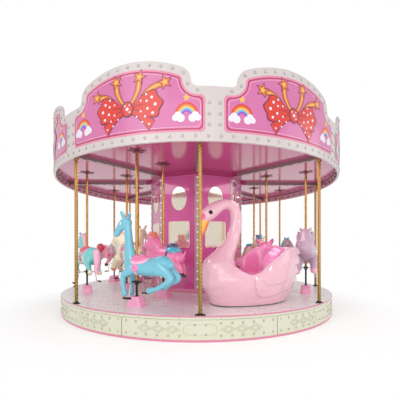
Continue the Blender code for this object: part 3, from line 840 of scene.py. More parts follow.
def add_skirt(looks):
    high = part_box("skirt")[1][2]
    board = Shape()
    profile = [(SKIRT_R - 0.012, 0.0), (SKIRT_R, 0.0), (SKIRT_R, 0.022), (SKIRT_R - 0.003, 0.025)]
    board.grid(lathe(profile, RING_SIDES), "pink_trim", wrap_columns=True)
    profile = [(SKIRT_R - 0.003, 0.025), (FASCIA_R, 0.0255), (FASCIA_R, 0.1), (FASCIA_R, 0.18),
               (FASCIA_R, high - 0.014), (SKIRT_R - 0.001, high - 0.012), (SKIRT_R - 0.001, high - 0.001),
               (SKIRT_R - 0.002, high), (SKIRT_R - 0.012, high), (SKIRT_R - 0.012, 0.0)]
    board.grid(lathe(profile, RING_SIDES), "cream", wrap_columns=True)
    piece = board.build("skirt_board", "base", looks)
    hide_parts("skirt")
    relief, lamps = Shape(), Shape()
    spots = [(side * across, up) for side in (-1, 1) for across in (5.6, 8.7, 11.8, 15.0, 18.1, 21.2)
             for up in (0.07, 0.212)]
    spots += [(across, up) for across in (-1.45, 1.45) for up in (0.085, 0.196)]
    across, up = np.array(spots).T
    for middle in turns(SECTORS):
        frames = outward_frames(FASCIA_R, middle + np.radians(across), up)
        add_lamps(lamps, frames, SKIRT_LAMP_R, "skirt_lamp")
        for side in (-1, 1):
            add_diamonds(relief, middle, side)
        add_plaque(relief, middle)
        add_seam(relief, middle + SECTOR / 2, high)
    relief.build("skirt_relief", "base", looks, closed=False, outwards_from_axis=True)
    lamps.build("skirt_lamps", "base", looks)


def add_diamonds(shape, middle, side):
    """A chain of three diamonds in a line, each a closed ridge, with a smaller one inside."""
    corners = np.array([(-1, 0), (0, 1), (1, 0), (0, -1), (-1, 0)])
    share = np.linspace(0, 4, 17)
    across, up = (np.interp(share, np.arange(5), corners[:, k]) for k in (0, 1))
    for i in range(3):
        for reach, tall in ((2.0, 0.046), (1.25, 0.028)):
            turn = middle + side * np.radians(7.6 + 3.95 * i + reach * across)
            ridge(shape, np.column_stack([turn, 0.142 + tall * up]), 0.010)


def add_plaque(shape, middle):
    """A long panel outline with round ends in the middle of each fascia."""
    half, tall = math.radians(4.6), 0.060
    end = tall / FASCIA_R
    bend = np.linspace(-math.pi / 2, math.pi / 2, 13)
    right = np.stack([half - end + end * np.cos(bend), 0.141 + tall * np.sin(bend)], axis=1)
    path = np.concatenate([right, right[::-1] * [-1, 1], right[:1]])
    ridge(shape, path + [middle, 0], 0.011)


def add_seam(shape, turn, high):
    """The cover strip where two fascias meet: a shallow band, raised in its middle, with a dark line."""
    half = [(0.055, -0.0004), (0.05, 0.004), (0.018, 0.004), (0.014, 0.0054)]
    across, proud = np.array([(-x, out) for x, out in half] + half[::-1]).T
    height = np.array([0.0262, high - 0.0145])[:, None]
    shape.grid(around(FASCIA_R + proud, turn + across / SKIRT_R, height), "cream")
    gap = np.array([-0.004, 0.004]) / SKIRT_R
    shape.grid(around(SKIRT_R - 0.0002, turn + gap, height), "smoke")


def add_deck_trim(looks):
    """The deck's edge: a cream lip under a rounded pink bead, with small screws under it."""
    low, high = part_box("deck")[0][2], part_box("deck")[1][2]
    shape = Shape()
    outer = SKIRT_R + 0.004
    lip = [(SKIRT_R - 0.001, low), (outer, low), (outer, high - 0.016), (SKIRT_R - 0.001, high - 0.016)]
    shape.grid(lathe(lip, RING_SIDES), "cream", wrap_rows=True, wrap_columns=True)
    bend = np.linspace(-math.pi / 2, math.pi, 9)
    bead = np.stack([outer - 0.004 + 0.0065 * np.cos(bend), high - 0.0075 + 0.0078 * np.sin(bend)], axis=1)
    bead = np.concatenate([[(SKIRT_R - 0.012, high + 0.0003)], [(SKIRT_R - 0.001, high - 0.0155)], bead])
    shape.grid(lathe(bead, RING_SIDES), "pink_trim", wrap_rows=True, wrap_columns=True)
    screw = lathe([(0.0045, 0), (0.0045, 0.0012), (0.0, 0.0016)], 8)
    shape.copies(screw, outward_frames(outer, turns(32) + SECTOR / 8, low + 0.012), "black")
    shape.build("deck_edge", "turntable", looks)


# Posts and column

# The mirrors' half width and half height, and how high their middles are over the deck
OVAL_MIRROR = (0.14, 0.20)
SQUARE_MIRROR = (0.195, 0.22)
OVAL_Z = 1.62
SQUARE_Z = 1.0


def twisted_tube(place, low, high):
    """A rope-like tube: its radius swells a few times round, and the swelling turns as it climbs."""
    height = np.linspace(low, high, round((high - low) / (POST_TWIST_PITCH / 9)))[:, None]
    phase = POST_TWIST_STARTS * turns(16) - TAU * height / POST_TWIST_PITCH
    swell = POST_R * (1.08 - POST_TWIST_DEPTH + POST_TWIST_DEPTH * np.cos(phase))
    flat = swell[..., None] * circle(16)
    return place + np.concatenate([flat, np.broadcast_to(height[..., None], (*swell.shape, 1))], axis=-1)


def add_posts(looks):
    plate = rounded_plate(0.12, 0.07, 0.008)
    boss = lathe([(0.034, 0.008), (0.034, 0.016), (0.026, 0.022), (0.0, 0.022)], 20)
    ring = lathe([(0.0, -0.03), (0.03, -0.03), (0.034, -0.02), (0.034, 0.0), (0.0, 0.0)], 20)
    for i in range(SECTORS):
        (_, _, low), (_, _, high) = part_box(f"post_{i + 1}")
        turn = -i * SECTOR
        side, up, out = outward_frames(1.0, turn, 0.0)[0, 1:]
        frame = np.array([[around(POST_CIRCLE_R, turn, low), side, out, up]])
        shape = Shape()
        shape.tube(twisted_tube(around(POST_CIRCLE_R, turn, 0.0), low + 0.006, high), "gold")
        shape.copies(plate, frame, "black")
        shape.copies(boss, frame, "black")
        frame[:, 0, 2] = high
        shape.copies(ring, frame, "gold")
        piece = shape.build(f"gilt_post_{i + 1}", "turntable", looks, smooth_angle=50)
        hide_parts(f"post_{i + 1}")


def rounded_plate(length, width, thick):
    """A flat plate with round corners and a small chamfer, as rings from its underside to its top."""
    corner = 0.012
    box = np.clip(circle(24) * 4, -1, 1) * [length / 2 - corner, width / 2 - corner]
    edge, top = box + circle(24) * corner, box + circle(24) * corner * 0.8
    rings = ((box * 0, 0.0), (edge, 0.0), (edge, thick * 0.75), (top, thick), (box * 0, thick))
    return np.array([at_height(ring, height) for ring, height in rings])


def add_column(looks):
    low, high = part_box("column")[0][2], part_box("column")[1][2]
    trim, glass, lamps = Shape(), Shape(), Shape()
    half, foot, head = 0.046, 0.06, 0.04
    back = -half * math.tan(SECTOR / 2)
    # The section of a strip that covers a corner: (across, out) from the corner
    section = [(-half, back + 0.0005), (-half, back + 0.008), (-0.01, 0.006), (0.01, 0.006),
               (half, back + 0.008), (half, back + 0.0005)]
    across, out = np.array(section).T
    rise = np.linspace(low + foot, high, 3)[:, None]
    lamp_step = 0.132
    heights = np.arange(low + 0.11, high - 0.03, lamp_step)
    for turn in turns(SECTORS):
        lean = turn + np.arctan2(across, COLUMN_R + out)
        trim.grid(around(np.hypot(COLUMN_R + out, across), lean, rise), "strip")
        add_lamps(lamps, outward_frames(COLUMN_R + 0.005, turn, heights), COLUMN_LAMP_R)
        add_mirrors(glass, turn + SECTOR / 2)
    for reach, bottom, top, finish in ((0.012, low, low + foot, "pink_trim"),
                                       (0.014, high - head, high, "magenta")):
        outer = COLUMN_R + reach
        rail = [(COLUMN_R, bottom), (outer, bottom), (outer, top - 0.006), (outer - 0.006, top),
                (COLUMN_R, top)]
        radius, height = np.array(rail).T[..., None]
        trim.grid(around(radius, turns(SECTORS), height), finish, wrap_columns=True)
    trim.build("column_trim", "turntable", looks, closed=False, smooth_angle=20)
    glass.build("column_mirrors", "turntable", looks, smooth_angle=30)
    lamps.build("column_lamps", "turntable", looks)


def add_mirrors(shape, face):
    """An oval mirror over a square one with a waved edge, each in a rounded rim, on one of the faces."""
    turn = turns(72)
    squareness = 16
    power = (np.abs(np.cos(turn)) ** squareness + np.abs(np.sin(turn)) ** squareness) ** (-1 / squareness)
    low_wave = 1 + 0.03 * np.cos(14 * turn) * (np.sin(turn) < -0.6)
    half_width, half_height = SQUARE_MIRROR
    oval = circle(72) * OVAL_MIRROR
    square = np.stack([half_width * power * np.cos(turn), half_height * power * np.sin(turn) * low_wave],
                      axis=1)
    for outline, height in ((oval, deck_top() + OVAL_Z), (square, deck_top() + SQUARE_Z)):
        frame = outward_frames(COLUMN_R * math.cos(SECTOR / 2), face, height)
        rim = ((1.03, 0.0), (1.03, 0.004), (1.015, 0.006), (1.0, 0.005), (1.0, 0.003))
        sheet = ((1.0, 0.003), (0.5, 0.003), (0.0, 0.003))
        for rows, finish in ((rim, "frame_rim"), (sheet, "mirror")):
            shape.copies(np.array([at_height(outline * grow, out) for grow, out in rows]), frame, finish)


# Rounded bodies

# Steps along a limb at which its paint is looked up, and places along a trunk at which tack can lie
PAINT_STEPS = 24
TRUNK_STEPS = 200


def spline(rows, count):
    """A smooth line through every row: cubic pieces whose slope at a row follows its two neighbours."""
    rows = np.asarray(rows, float)
    slope = np.gradient(rows, axis=0)
    at = np.linspace(0, len(rows) - 1, count)
    i = np.minimum(at.astype(int), len(rows) - 2)
    t = (at - i)[:, None]
    return (rows[i] * (2 * t**3 - 3 * t**2 + 1) + slope[i] * (t**3 - 2 * t**2 + t)
            + rows[i + 1] * (3 * t**2 - 2 * t**3) + slope[i + 1] * (t**3 - t**2))


def full_rows(rows):
    """Rows of (x, y, z, half height, half width) in metres, with a missing width taken as the height."""
    return np.array([row if len(row) == 5 else (*row, row[3]) for row in rows], float) / 1000


def section_axes(line):
    """The direction along the line, the one across it, near the local Y, and the one square to both."""
    along = np.gradient(line, axis=0)
    along /= np.linalg.norm(along, axis=1, keepdims=True)
    aside = np.array([0.0, 1.0, 0.0]) - along * along[:, 1:2]
    aside /= np.maximum(np.linalg.norm(aside, axis=1, keepdims=True), 1e-6)
    return along, aside, np.cross(along, aside)


def limb(rows, sides=18, per_row=5):
    """A tube of oval sections along a smooth line, closed at both ends by half an ellipsoid."""
    rows = full_rows(rows)
    line = spline(rows, per_row * (len(rows) - 1) + 1)
    along, aside, above = section_axes(line[:, :3])
    turn = turns(sides)[None, :, None]

    def section(i, shift, grow):
        grow, shift = np.asarray(grow)[:, None, None], np.asarray(shift)[:, None, None]
        return (line[i, None, :3] + along[i, None] * shift
                + grow * (aside[i, None] * line[i, None, 4:5] * np.cos(turn)
                          + above[i, None] * line[i, None, 3:4] * np.sin(turn)))

    bend = np.radians([78, 52, 26])
    first, last = [0] * 3, [len(line) - 1] * 3
    size = line[[0, -1], 3:].min(axis=1) * 0.8
    body = np.arange(len(line))
    return np.concatenate([
        section(first, -size[0] * np.sin(bend), np.cos(bend)),
        section(body, np.zeros(len(line)), np.ones(len(line))),
        section(last, size[1] * np.sin(bend[::-1]), np.cos(bend[::-1])),
    ])


def fused(surfaces, rounds):
    """One closed skin round all the surfaces: they are rebuilt together in small cubes, then smoothed."""
    shape = Shape()
    for surface in surfaces:
        shape.tube(surface, "fibreglass")
    mesh = bpy.data.meshes.new("fused")
    mesh.from_pydata(np.concatenate(shape.points).tolist(), [], shape.faces)
    work = bmesh.new()
    work.from_mesh(mesh)
    bmesh.ops.remove_doubles(work, verts=work.verts, dist=1e-5)
    bmesh.ops.recalc_face_normals(work, faces=work.faces)
    work.to_mesh(mesh)
    work.free()
    piece = link("fused", mesh)
    remesh = piece.modifiers.new("remesh", "REMESH")
    remesh.mode = "VOXEL"
    remesh.voxel_size = VOXEL
    soften = piece.modifiers.new("soften", "SMOOTH")
    soften.iterations = rounds
    soften.factor = 0.5
    graph = bpy.context.evaluated_depsgraph_get()
    skin = bpy.data.meshes.new_from_object(piece.evaluated_get(graph))
    points = np.empty(len(skin.vertices) * 3)
    skin.vertices.foreach_get("co", points)
    corners = np.empty(len(skin.loops), int)
    skin.loops.foreach_get("vertex_index", corners)
    bpy.data.objects.remove(piece)
    bpy.data.meshes.remove(mesh)
    bpy.data.meshes.remove(skin)
    return points.reshape(-1, 3), corners.reshape(-1, 4)


def nearest_paint(points, limbs):
    """Each point takes the paint of the limb whose surface it lies nearest, at its place along that limb."""
    best = np.full(len(points), np.inf)
    paint = np.zeros((len(points), 3))
    for rows, paints in limbs:
        rows = full_rows(rows)
        line = spline(rows, PAINT_STEPS)
        reach = np.linalg.norm(points[:, None] - line[None, :, :3], axis=2)
        depth = reach / line[None, :, 3:].mean(axis=2)
        at = depth.argmin(axis=1)
        found = depth.min(axis=1)
        share = at / (PAINT_STEPS - 1)
        colour = np.zeros((len(points), 3))
        for start, value in paints:
            colour[share >= start] = value
        closer = found < best
        best[closer] = found[closer]
        paint[closer] = colour[closer]
    return paint


def ball(radius, squash, rows=7, sides=14):
    """A ball, or a flattened one, about the local third direction."""
    bend = np.linspace(-math.pi / 2, math.pi / 2, rows)
    return lathe(np.stack([radius * np.cos(bend), radius * squash * np.sin(bend)], axis=1), sides)


def button(radius, squash, spot, out):
    """A flattened ball on a spot, with its short way along the given direction."""
    out = np.asarray(out, float) / np.linalg.norm(out)
    side = np.cross((0, 0, 1), out)
    side /= np.linalg.norm(side)
    axes = np.array([side, np.cross(out, side), out])
    return np.einsum("pqk,kc->pqc", ball(radius, squash), axes) + spot


# Animals. Limbs are rows of (forward, outward, up, half height, half width) in millimetres, from the pole and
# the deck. A width left out is the height again.

GIRAFFE = {
    "trunk": ((-520, 0, 530, 55, 50), (-470, 0, 530, 110, 95), (-380, 0, 520, 133, 120),
              (-220, 0, 495, 120, 115), (-60, 0, 505, 118, 112), (50, 0, 515, 120, 105),
              (120, 0, 550, 95, 85)),
    "neck": ((70, 0, 550, 115, 88), (105, 0, 660, 85, 70), (120, 0, 780, 64, 58), (135, 0, 930, 56, 50),
             (150, 0, 1050, 56, 50)),
    "head": ((125, 0, 1090, 50, 50), (170, 0, 1095, 70, 66), (235, 0, 1060, 66, 58), (290, 0, 1000, 50, 44),
             (322, 0, 950, 46, 46), (338, 0, 925, 34, 38)),
    "pair_ear": ((165, 30, 1130, 24), (170, 58, 1170, 32, 22), (178, 80, 1210, 32, 21),
                 (183, 92, 1240, 14, 11)),
    "foreleg": ((30, 70, 480, 80, 58), (95, 85, 430, 58, 48), (145, 90, 390, 44), (153, 90, 310, 33),
                (143, 90, 220, 31), (130, 90, 170, 39), (124, 90, 145, 43)),
    "far_foreleg": ((30, -70, 480, 80, 58), (85, -85, 420, 58, 48), (125, -90, 370, 44), (137, -90, 280, 33),
                    (145, -90, 190, 31), (152, -90, 145, 39), (155, -90, 120, 43)),
    "hindleg": ((-360, 70, 500, 110, 65), (-475, 90, 450, 70, 50), (-562, 100, 372, 44),
                (-490, 100, 305, 39), (-380, 100, 246, 31), (-290, 100, 217, 36), (-250, 100, 205, 42)),
    "far_hindleg": ((-370, -70, 500, 110, 65), (-480, -90, 440, 70, 50), (-565, -100, 362, 44),
                    (-525, -100, 320, 39), (-460, -100, 285, 31), (-400, -100, 245, 36),
                    (-370, -100, 228, 42)),
}
PIG = {
    "trunk": ((-290, 0, 540, 90, 90), (-240, 0, 540, 145, 140), (-130, 0, 530, 178, 170),
              (0, 0, 530, 182, 172), (120, 0, 550, 160, 150), (190, 0, 600, 120, 120)),
    "head": ((70, 0, 660, 110, 110), (130, 0, 720, 125, 130), (190, 0, 745, 128, 138),
             (250, 0, 735, 105, 115), (290, 0, 720, 75, 80)),
    "snout": ((260, 0, 715, 60, 68), (315, 0, 700, 52, 60), (340, 0, 695, 48, 56)),
    "pair_ear": ((150, 80, 820, 30, 40), (165, 115, 870, 34, 38), (185, 130, 900, 24), (200, 135, 915, 12)),
    "tail": ((-330, 0, 580, 20), (-365, 12, 600, 17), (-375, 0, 630, 15), (-355, -10, 645, 13)),
    "foreleg": ((50, 100, 470, 85), (140, 110, 420, 65), (210, 110, 360, 50), (250, 110, 305, 43),
                (270, 110, 275, 45)),
    "far_foreleg": ((50, -100, 470, 85), (120, -110, 400, 65), (175, -110, 340, 50), (205, -110, 285, 43),
                    (220, -110, 255, 45)),
    "hindleg": ((-200, 90, 470, 110, 85), (-290, 110, 420, 68), (-340, 110, 375, 50), (-360, 110, 335, 42),
                (-362, 110, 310, 45)),
    "far_hindleg": ((-200, -90, 470, 110, 85), (-260, -110, 400, 68), (-285, -110, 345, 50),
                    (-300, -110, 295, 42), (-302, -110, 270, 45)),
}
PONY = {
    "trunk": ((-390, 0, 570, 90, 80), (-320, 0, 575, 145, 130), (-180, 0, 560, 145, 130),
              (-20, 0, 550, 140, 125), (100, 0, 570, 150, 125), (180, 0, 610, 110, 90)),
    "neck": ((90, 0, 600, 135, 90), (165, 0, 680, 105, 72), (230, 0, 765, 82, 60), (265, 0, 840, 70, 56)),
    "head": ((220, 0, 875, 55, 50), (275, 0, 868, 75, 62), (335, 0, 825, 66, 55), (395, 0, 775, 50, 43),
             (435, 0, 740, 46, 44), (450, 0, 725, 36, 38)),
    "pair_ear": ((235, 35, 915, 22), (232, 48, 955, 24, 18), (240, 55, 985, 14)),
    "mane": ((280, 0, 935, 30), (210, 0, 935, 38, 30), (150, 0, 875, 45, 32), (105, 0, 800, 48, 34),
             (50, 0, 735, 42, 32), (10, 0, 700, 25)),
    "tail": ((-380, 0, 630, 30), (-450, 0, 645, 45), (-505, 0, 570, 55, 50), (-520, 0, 460, 55, 50),
             (-500, 0, 360, 40), (-530, 0, 300, 20)),
    "foreleg": ((70, 70, 510, 90, 60), (170, 80, 490, 65, 50), (260, 85, 455, 47), (285, 85, 390, 34),
                (285, 85, 335, 30), (270, 85, 295, 40), (262, 85, 275, 44)),
    "far_foreleg": ((70, -70, 510, 90, 60), (140, -80, 460, 65, 50), (200, -85, 420, 47),
                    (190, -85, 355, 34), (170, -85, 300, 30), (148, -85, 265, 40), (140, -85, 245, 44)),
    "hindleg": ((-280, 70, 530, 120, 70), (-330, 85, 470, 85, 60), (-345, 90, 425, 50), (-395, 90, 390, 37),
                (-435, 90, 360, 31), (-455, 90, 335, 38), (-460, 90, 318, 42)),
    "far_hindleg": ((-280, -70, 530, 120, 70), (-275, -85, 460, 85, 60), (-270, -90, 405, 50),
                    (-310, -90, 360, 37), (-345, -90, 330, 31), (-362, -90, 305, 38), (-366, -90, 288, 42)),
}
HIPPO = {
    "trunk": ((-370, 0, 540, 100, 100), (-300, 0, 545, 150, 145), (-160, 0, 540, 178, 168),
              (0, 0, 550, 172, 160), (120, 0, 590, 150, 140), (180, 0, 650, 125, 120)),
    "head": ((80, 0, 720, 130, 130), (140, 0, 790, 145, 145), (210, 0, 810, 145, 145),
             (290, 0, 745, 130, 135), (350, 0, 665, 135, 150), (395, 0, 615, 110, 130)),
    "pair_ear": ((140, 55, 905, 26), (140, 74, 945, 29, 24), (145, 82, 968, 16)),
    "pair_nostril": ((360, 65, 755, 30), (405, 70, 735, 34), (430, 70, 710, 22)),
    "tail": ((-420, 0, 580, 22), (-480, 0, 560, 18), (-515, 0, 510, 16), (-525, 0, 460, 20)),
    "foreleg": ((70, 110, 470, 90), (150, 125, 410, 70), (210, 130, 350, 60), (240, 130, 295, 55),
                (250, 130, 270, 57)),
    "far_foreleg": ((70, -110, 470, 90), (140, -125, 400, 70), (180, -130, 330, 60), (195, -130, 265, 55),
                    (200, -130, 240, 57)),
    "hindleg": ((-240, 100, 470, 120, 90), (-320, 125, 400, 80), (-370, 130, 340, 62), (-410, 130, 295, 55),
                (-425, 130, 275, 57)),
    "far_hindleg": ((-240, -100, 470, 120, 90), (-280, -125, 385, 80), (-310, -130, 320, 62),
                    (-335, -130, 270, 55), (-345, -130, 250, 57)),
}
ANIMALS = {"giraffe": GIRAFFE, "pig": PIG, "pony": PONY, "hippo": HIPPO}
# Where each eye sits: (forward, outward, up, radius), and how far along the trunk the saddle reaches
EYES = {"giraffe": (0.225, 0.057, 1.08, 0.019), "pig": (0.245, 0.085, 0.80, 0.03),
        "pony": (0.315, 0.052, 0.858, 0.02), "hippo": (0.275, 0.088, 0.885, 0.03)}
SADDLE_SPAN = {"giraffe": (0.50, 0.90), "pig": (0.20, 0.60), "pony": (0.42, 0.82), "hippo": (0.30, 0.66)}

WHITE, BLACK = shade(248, 246, 246), shade(22, 20, 24)
SKY, DEEP_SKY = shade(104, 188, 210), shade(60, 150, 190)
ROSE, PALE_ROSE = shade(244, 124, 176), shade(250, 178, 206)
LILAC, CREAM = shade(192, 162, 182), shade(252, 240, 204)
MINT, RED = shade(104, 202, 198), shade(226, 38, 62)
NAVY, TEAL = shade(38, 56, 104), shade(48, 178, 204)
ORANGE, HOOF_CREAM = shade(240, 120, 60), shade(244, 228, 196)

# Body, muzzle, mane and tail, hooves, saddle, saddle's edge
PAINTS = {
    "outer_1": (SKY, SKY, DEEP_SKY, SKY, ROSE, PALE_ROSE),
    "inner_1": (ROSE, shade(226, 96, 160), ROSE, BLACK, TEAL, NAVY),
    "outer_2": (MINT, MINT, PALE_ROSE, HOOF_CREAM, RED, ROSE),
    "inner_2": (CREAM, LILAC, LILAC, ORANGE, LILAC, ROSE),
    "outer_3": (PALE_ROSE, WHITE, RED, BLACK, shade(112, 142, 190), WHITE),
    "inner_3": (CREAM, shade(240, 214, 178), ORANGE, ORANGE, ROSE, TEAL),
    "outer_5": (CREAM, WHITE, ORANGE, ORANGE, TEAL, ROSE),
    "inner_5": (WHITE, PALE_ROSE, ROSE, NAVY, LILAC, ROSE),
    "outer_6": (LILAC, TEAL, TEAL, WHITE, ROSE, TEAL),
    "inner_6": (CREAM, PALE_ROSE, ORANGE, ORANGE, ROSE, TEAL),
    "outer_7": (LILAC, LILAC, LILAC, PALE_ROSE, ROSE, WHITE),
    "inner_7": (ROSE, shade(226, 96, 160), ROSE, BLACK, TEAL, NAVY),
}

HATS = {"inner_1": ORANGE, "inner_6": shade(84, 142, 178)}
HAT_PLACE = (0.18, 0, 0.862)
CUSHION_PLACE = (-0.16, 0, 0.70)
# The lobes of the big tail ball: (forward, outward, up, radius)
POMPOM_LOBES = ((-0.44, 0.0, 0.665, 0.085), (-0.40, 0.035, 0.62, 0.06), (-0.48, -0.02, 0.61, 0.055))


def limb_paints(name, paints):
    """The paints along a limb, each with the share of the limb's length that it starts from."""
    body, muzzle, mane, hoof, _, _ = paints
    if name.endswith("leg"):
        return ((0, body), (0.86, hoof))
    return {"head": ((0, body), (0.72, muzzle)), "pair_ear": ((0, body), (0.55, muzzle)),
            "snout": ((0, muzzle),), "mane": ((0, mane),), "tail": ((0, mane),)}.get(name, ((0, body),))


def animal_limbs(kind, paints):
    """Every limb of an animal with its paints, the paired ones on both sides."""
    limbs = []
    for name, rows in ANIMALS[kind].items():
        limbs.append((rows, limb_paints(name, paints)))
        if name.startswith("pair"):
            other = tuple((x, -y, *more) for x, y, *more in rows)
            limbs.append((other, limb_paints(name, paints)))
    return limbs


def trunk_line(kind):
    """Places along the middle of an animal's trunk, and the two directions across each."""
    line = spline(full_rows(ANIMALS[kind]["trunk"]), TRUNK_STEPS)
    return line, *section_axes(line[:, :3])[1:]


def trunk_places(start, end, count):
    """Which of a trunk's places lie between these shares of its length."""
    return (np.linspace(start, end, count) * (TRUNK_STEPS - 1)).astype(int)


def round_trunk(kind, at, turn, proud):
    """Points round the trunk at some of its places, this far off its skin."""
    line, aside, above = (part[at, None] for part in trunk_line(kind))
    return (line[..., :3] + aside * ((line[..., 4] + proud) * np.cos(turn))[..., None]
            + above * ((line[..., 3] + proud) * np.sin(turn))[..., None])


def saddle_sheet(kind, start, end, lift, reach):
    """A sheet over the back, this far off the trunk: its reach round the trunk is widest in its middle."""
    middle = np.linspace(-1, 1, 25)
    half = reach * np.sqrt(np.maximum(1 - middle**2, 0)) ** 0.7 + 0.12
    edge = np.minimum(1, 6 * (1 - np.abs(middle)))
    turn = math.pi / 2 + half[:, None] * middle
    return round_trunk(kind, trunk_places(start, end, 25), turn, lift * edge * edge[:, None])


def add_tack(shape, kind, paints, place):
    """Saddle with a raised pad, a round badge on each flank and a girth round the belly."""
    *_, saddle, edge = paints
    start, end = SADDLE_SPAN[kind]
    if kind == "pig":
        add_cushion(shape, place, saddle, edge)
    else:
        for inset, lift, reach, paint in ((0.0, 0.012, 1.15, edge), (0.03, 0.024, 1.0, saddle),
                                          (0.09, 0.036, 0.45, saddle)):
            sheet = saddle_sheet(kind, start + inset, end - inset, lift, reach)
            shape.grid(place(sheet), "fibreglass", paint=paint)
    at = trunk_places((start + end) / 2 - 0.03, (start + end) / 2 + 0.03, 4)
    proud = np.array([0.0, 0.006, 0.006, 0.0])[:, None]
    shape.painted(place(round_trunk(kind, at, turns(40), proud)), edge)
    line, aside, above = (part[at[1]] for part in trunk_line(kind))
    lean, lift = 0.35, 0.004
    for side in (-1, 1):
        out = aside * side * math.cos(lean) + above * math.sin(lean) * 0.2
        spot = line[:3] + aside * side * (line[4] + lift) * math.cos(lean) - above * line[3] * 0.1
        shape.painted(place(button(0.052, 0.3, spot, out)), saddle)


def add_cushion(shape, place, skirt, top):
    """A round domed seat behind the pole, over a wider skirt with a scalloped edge."""
    turn = turns(48)
    scallop = 0.034 * np.abs(np.sin(turn * 3))
    dome = ((0.092, -0.02), (0.094, 0.02), (0.078, 0.05), (0.045, 0.068), (0, 0.075))
    frill = ((0.06, 0.012), (0.105, 0.004), (0.13, -0.03), (0.143, scallop - 0.09), (0.135, scallop - 0.093),
             (0.12, -0.04))
    for rings, paint in ((dome, top), (frill, skirt)):
        shape.painted(place(ring_stack(rings, turn, 0.95) + CUSHION_PLACE), paint)


def add_pompoms(shape, place):
    """A big red tail ball of three lobes and a round red badge on each thigh."""
    for x, y, z, radius in POMPOM_LOBES:
        shape.painted(place(ball(radius, 1.0, 11, 20) + [x, y, z]), RED)
    for side in (-1, 1):
        for radius, out, paint in ((0.07, 0.0, PALE_ROSE), (0.042, 0.012, RED)):
            spot = (-0.33, side * (0.112 + out), 0.50)
            shape.painted(place(button(radius, 0.35, spot, (-0.2, side, 0.1))), paint)


def add_eyes(shape, kind, place):
    """A white ball with a dark one over it on each side, and a small glint of white."""
    x, y, z, radius = EYES[kind]
    for side in (-1, 1):
        out = np.array([0.35 if kind in ("giraffe", "pony") else 1.1, side, 0.2])
        for size, shift, paint in ((1.0, 0.0, WHITE), (0.62, 0.55, BLACK), (0.2, 1.08, WHITE)):
            eye = button(radius * size, 0.8, [x, side * y, z] + out * radius * shift * 0.62, out)
            shape.painted(place(eye), paint, "rubber" if paint is BLACK else "fibreglass")


def add_hat(shape, place, paint):
    """A small paper-crown hat with five points, standing between a pig's ears."""
    turn = turns(40)
    peak = 0.034 * np.abs((turn / TAU * 5) % 1 - 0.5) * 2
    rings = ((0.055, -0.025), (0.060, 0.035), (0.068, peak + 0.062), (0.061, peak + 0.062), (0.053, 0.035),
             (0.0, 0.032))
    shape.painted(place(ring_stack(rings, turn) + HAT_PLACE), paint)


# Riders turned a little to the left of the way of travel
TURNED = {"outer_2": math.radians(16), "inner_2": math.radians(20)}


def rider_place(label):
    """The rider's own frame, read from its pole: at the deck, raised by its lift."""
    low, high = (np.array(corner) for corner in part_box(f"pole_{label}"))
    x, y, _ = (low + high) / 2
    lift = low[2] - POLE_FOOT_Z
    return local_frame((x, y, deck_top() + lift), math.atan2(x, -y) + TURNED.get(label, 0.0))


def add_animals(nodes, looks):
    for kind in sorted(ANIMALS):
        points, faces = fused([limb(rows) for rows, _ in animal_limbs(kind, (WHITE,) * 6)], 5)
        for label in labels(nodes, f"{kind}_"):
            place, paints = rider_place(label), PAINTS[label]
            shape = Shape()
            shape.add(place(points), faces, "fibreglass", nearest_paint(points, animal_limbs(kind, paints)))
            add_tack(shape, kind, paints, place)
            add_eyes(shape, kind, place)
            if label in HATS:
                add_hat(shape, place, HATS[label])
            if label == "outer_3":
                add_pompoms(shape, place)
            name = f"{kind}_{label}"
            piece = shape.build(f"painted_{name}", f"rider_{label}", looks, closed=False, smooth_angle=60)
            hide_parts(name)


# Poles, foot bars and drive covers

POLE_FOOT_Z = 0.12
POLE_R = 0.019
ROD_R = 0.015
BRACKET_Z = 0.315
FOOT_BAR_R = 0.0075
# Half of a foot bar, from its middle: (outward, up). Its grip is placed in the same way.
FOOT_BAR = ((0.0, 0.295), (0.06, 0.295), (0.11, 0.293), (0.135, 0.278), (0.146, 0.24), (0.154, 0.19),
            (0.16, 0.145), (0.168, 0.125), (0.185, 0.1155), (0.21, 0.115))
GRIP_PLACE = (0.212, 0.115)


def add_poles(nodes, looks):
    foot = POLE_FOOT_Z - deck_top()
    rod = [(0, foot), (ROD_R, foot), (ROD_R, 0.1), (ROD_R, BRACKET_Z - 0.05), (0.024, BRACKET_Z - 0.05),
           (0.026, BRACKET_Z - 0.045), (0.026, BRACKET_Z + 0.004), (0, BRACKET_Z + 0.004)]
    bracket = rounded_plate(0.12, 0.074, 0.022) + [0, 0, BRACKET_Z - 0.026]
    screw = lathe([(0.008, -0.034), (0.008, -0.026), (0.0, -0.026)], 6)
    half_grip = [(0, 0.055), (0.0125, 0.055), (0.0135, 0.05)]
    grip = [(radius, -y) for radius, y in half_grip] + half_grip[::-1]
    grip = lathe(grip, 16)[..., [2, 1, 0]] * [1, 1.5, 1]
    grip_y, grip_z = GRIP_PLACE
    for label in labels(nodes, "pole_"):
        name = f"pole_{label}"
        place = rider_place(label)
        low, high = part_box(name)
        top = high[2] - low[2] + foot
        pole = [(0, BRACKET_Z), (POLE_R, BRACKET_Z), (POLE_R, 0.9), (POLE_R, 1.5), (POLE_R, top - 0.003),
                (POLE_R - 0.003, top), (0, top)]
        shape = Shape()
        parts = [(lathe(pole, 24), "pole_gold"), (lathe(rod, 20), "black"), (bracket, "black")]
        parts += [(screw + [x, 0, BRACKET_Z], "silver") for x in (-0.045, 0.045)]
        parts += [(grip + [0, side * grip_y, grip_z], "rubber") for side in (-1, 1)]
        for surface, finish in parts:
            shape.grid(place(surface), finish, wrap_columns=True)
        shape.tube(place(foot_bar()), "silver")
        piece = shape.build(f"gilt_{name}", f"rider_{label}", looks)
        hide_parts(name)


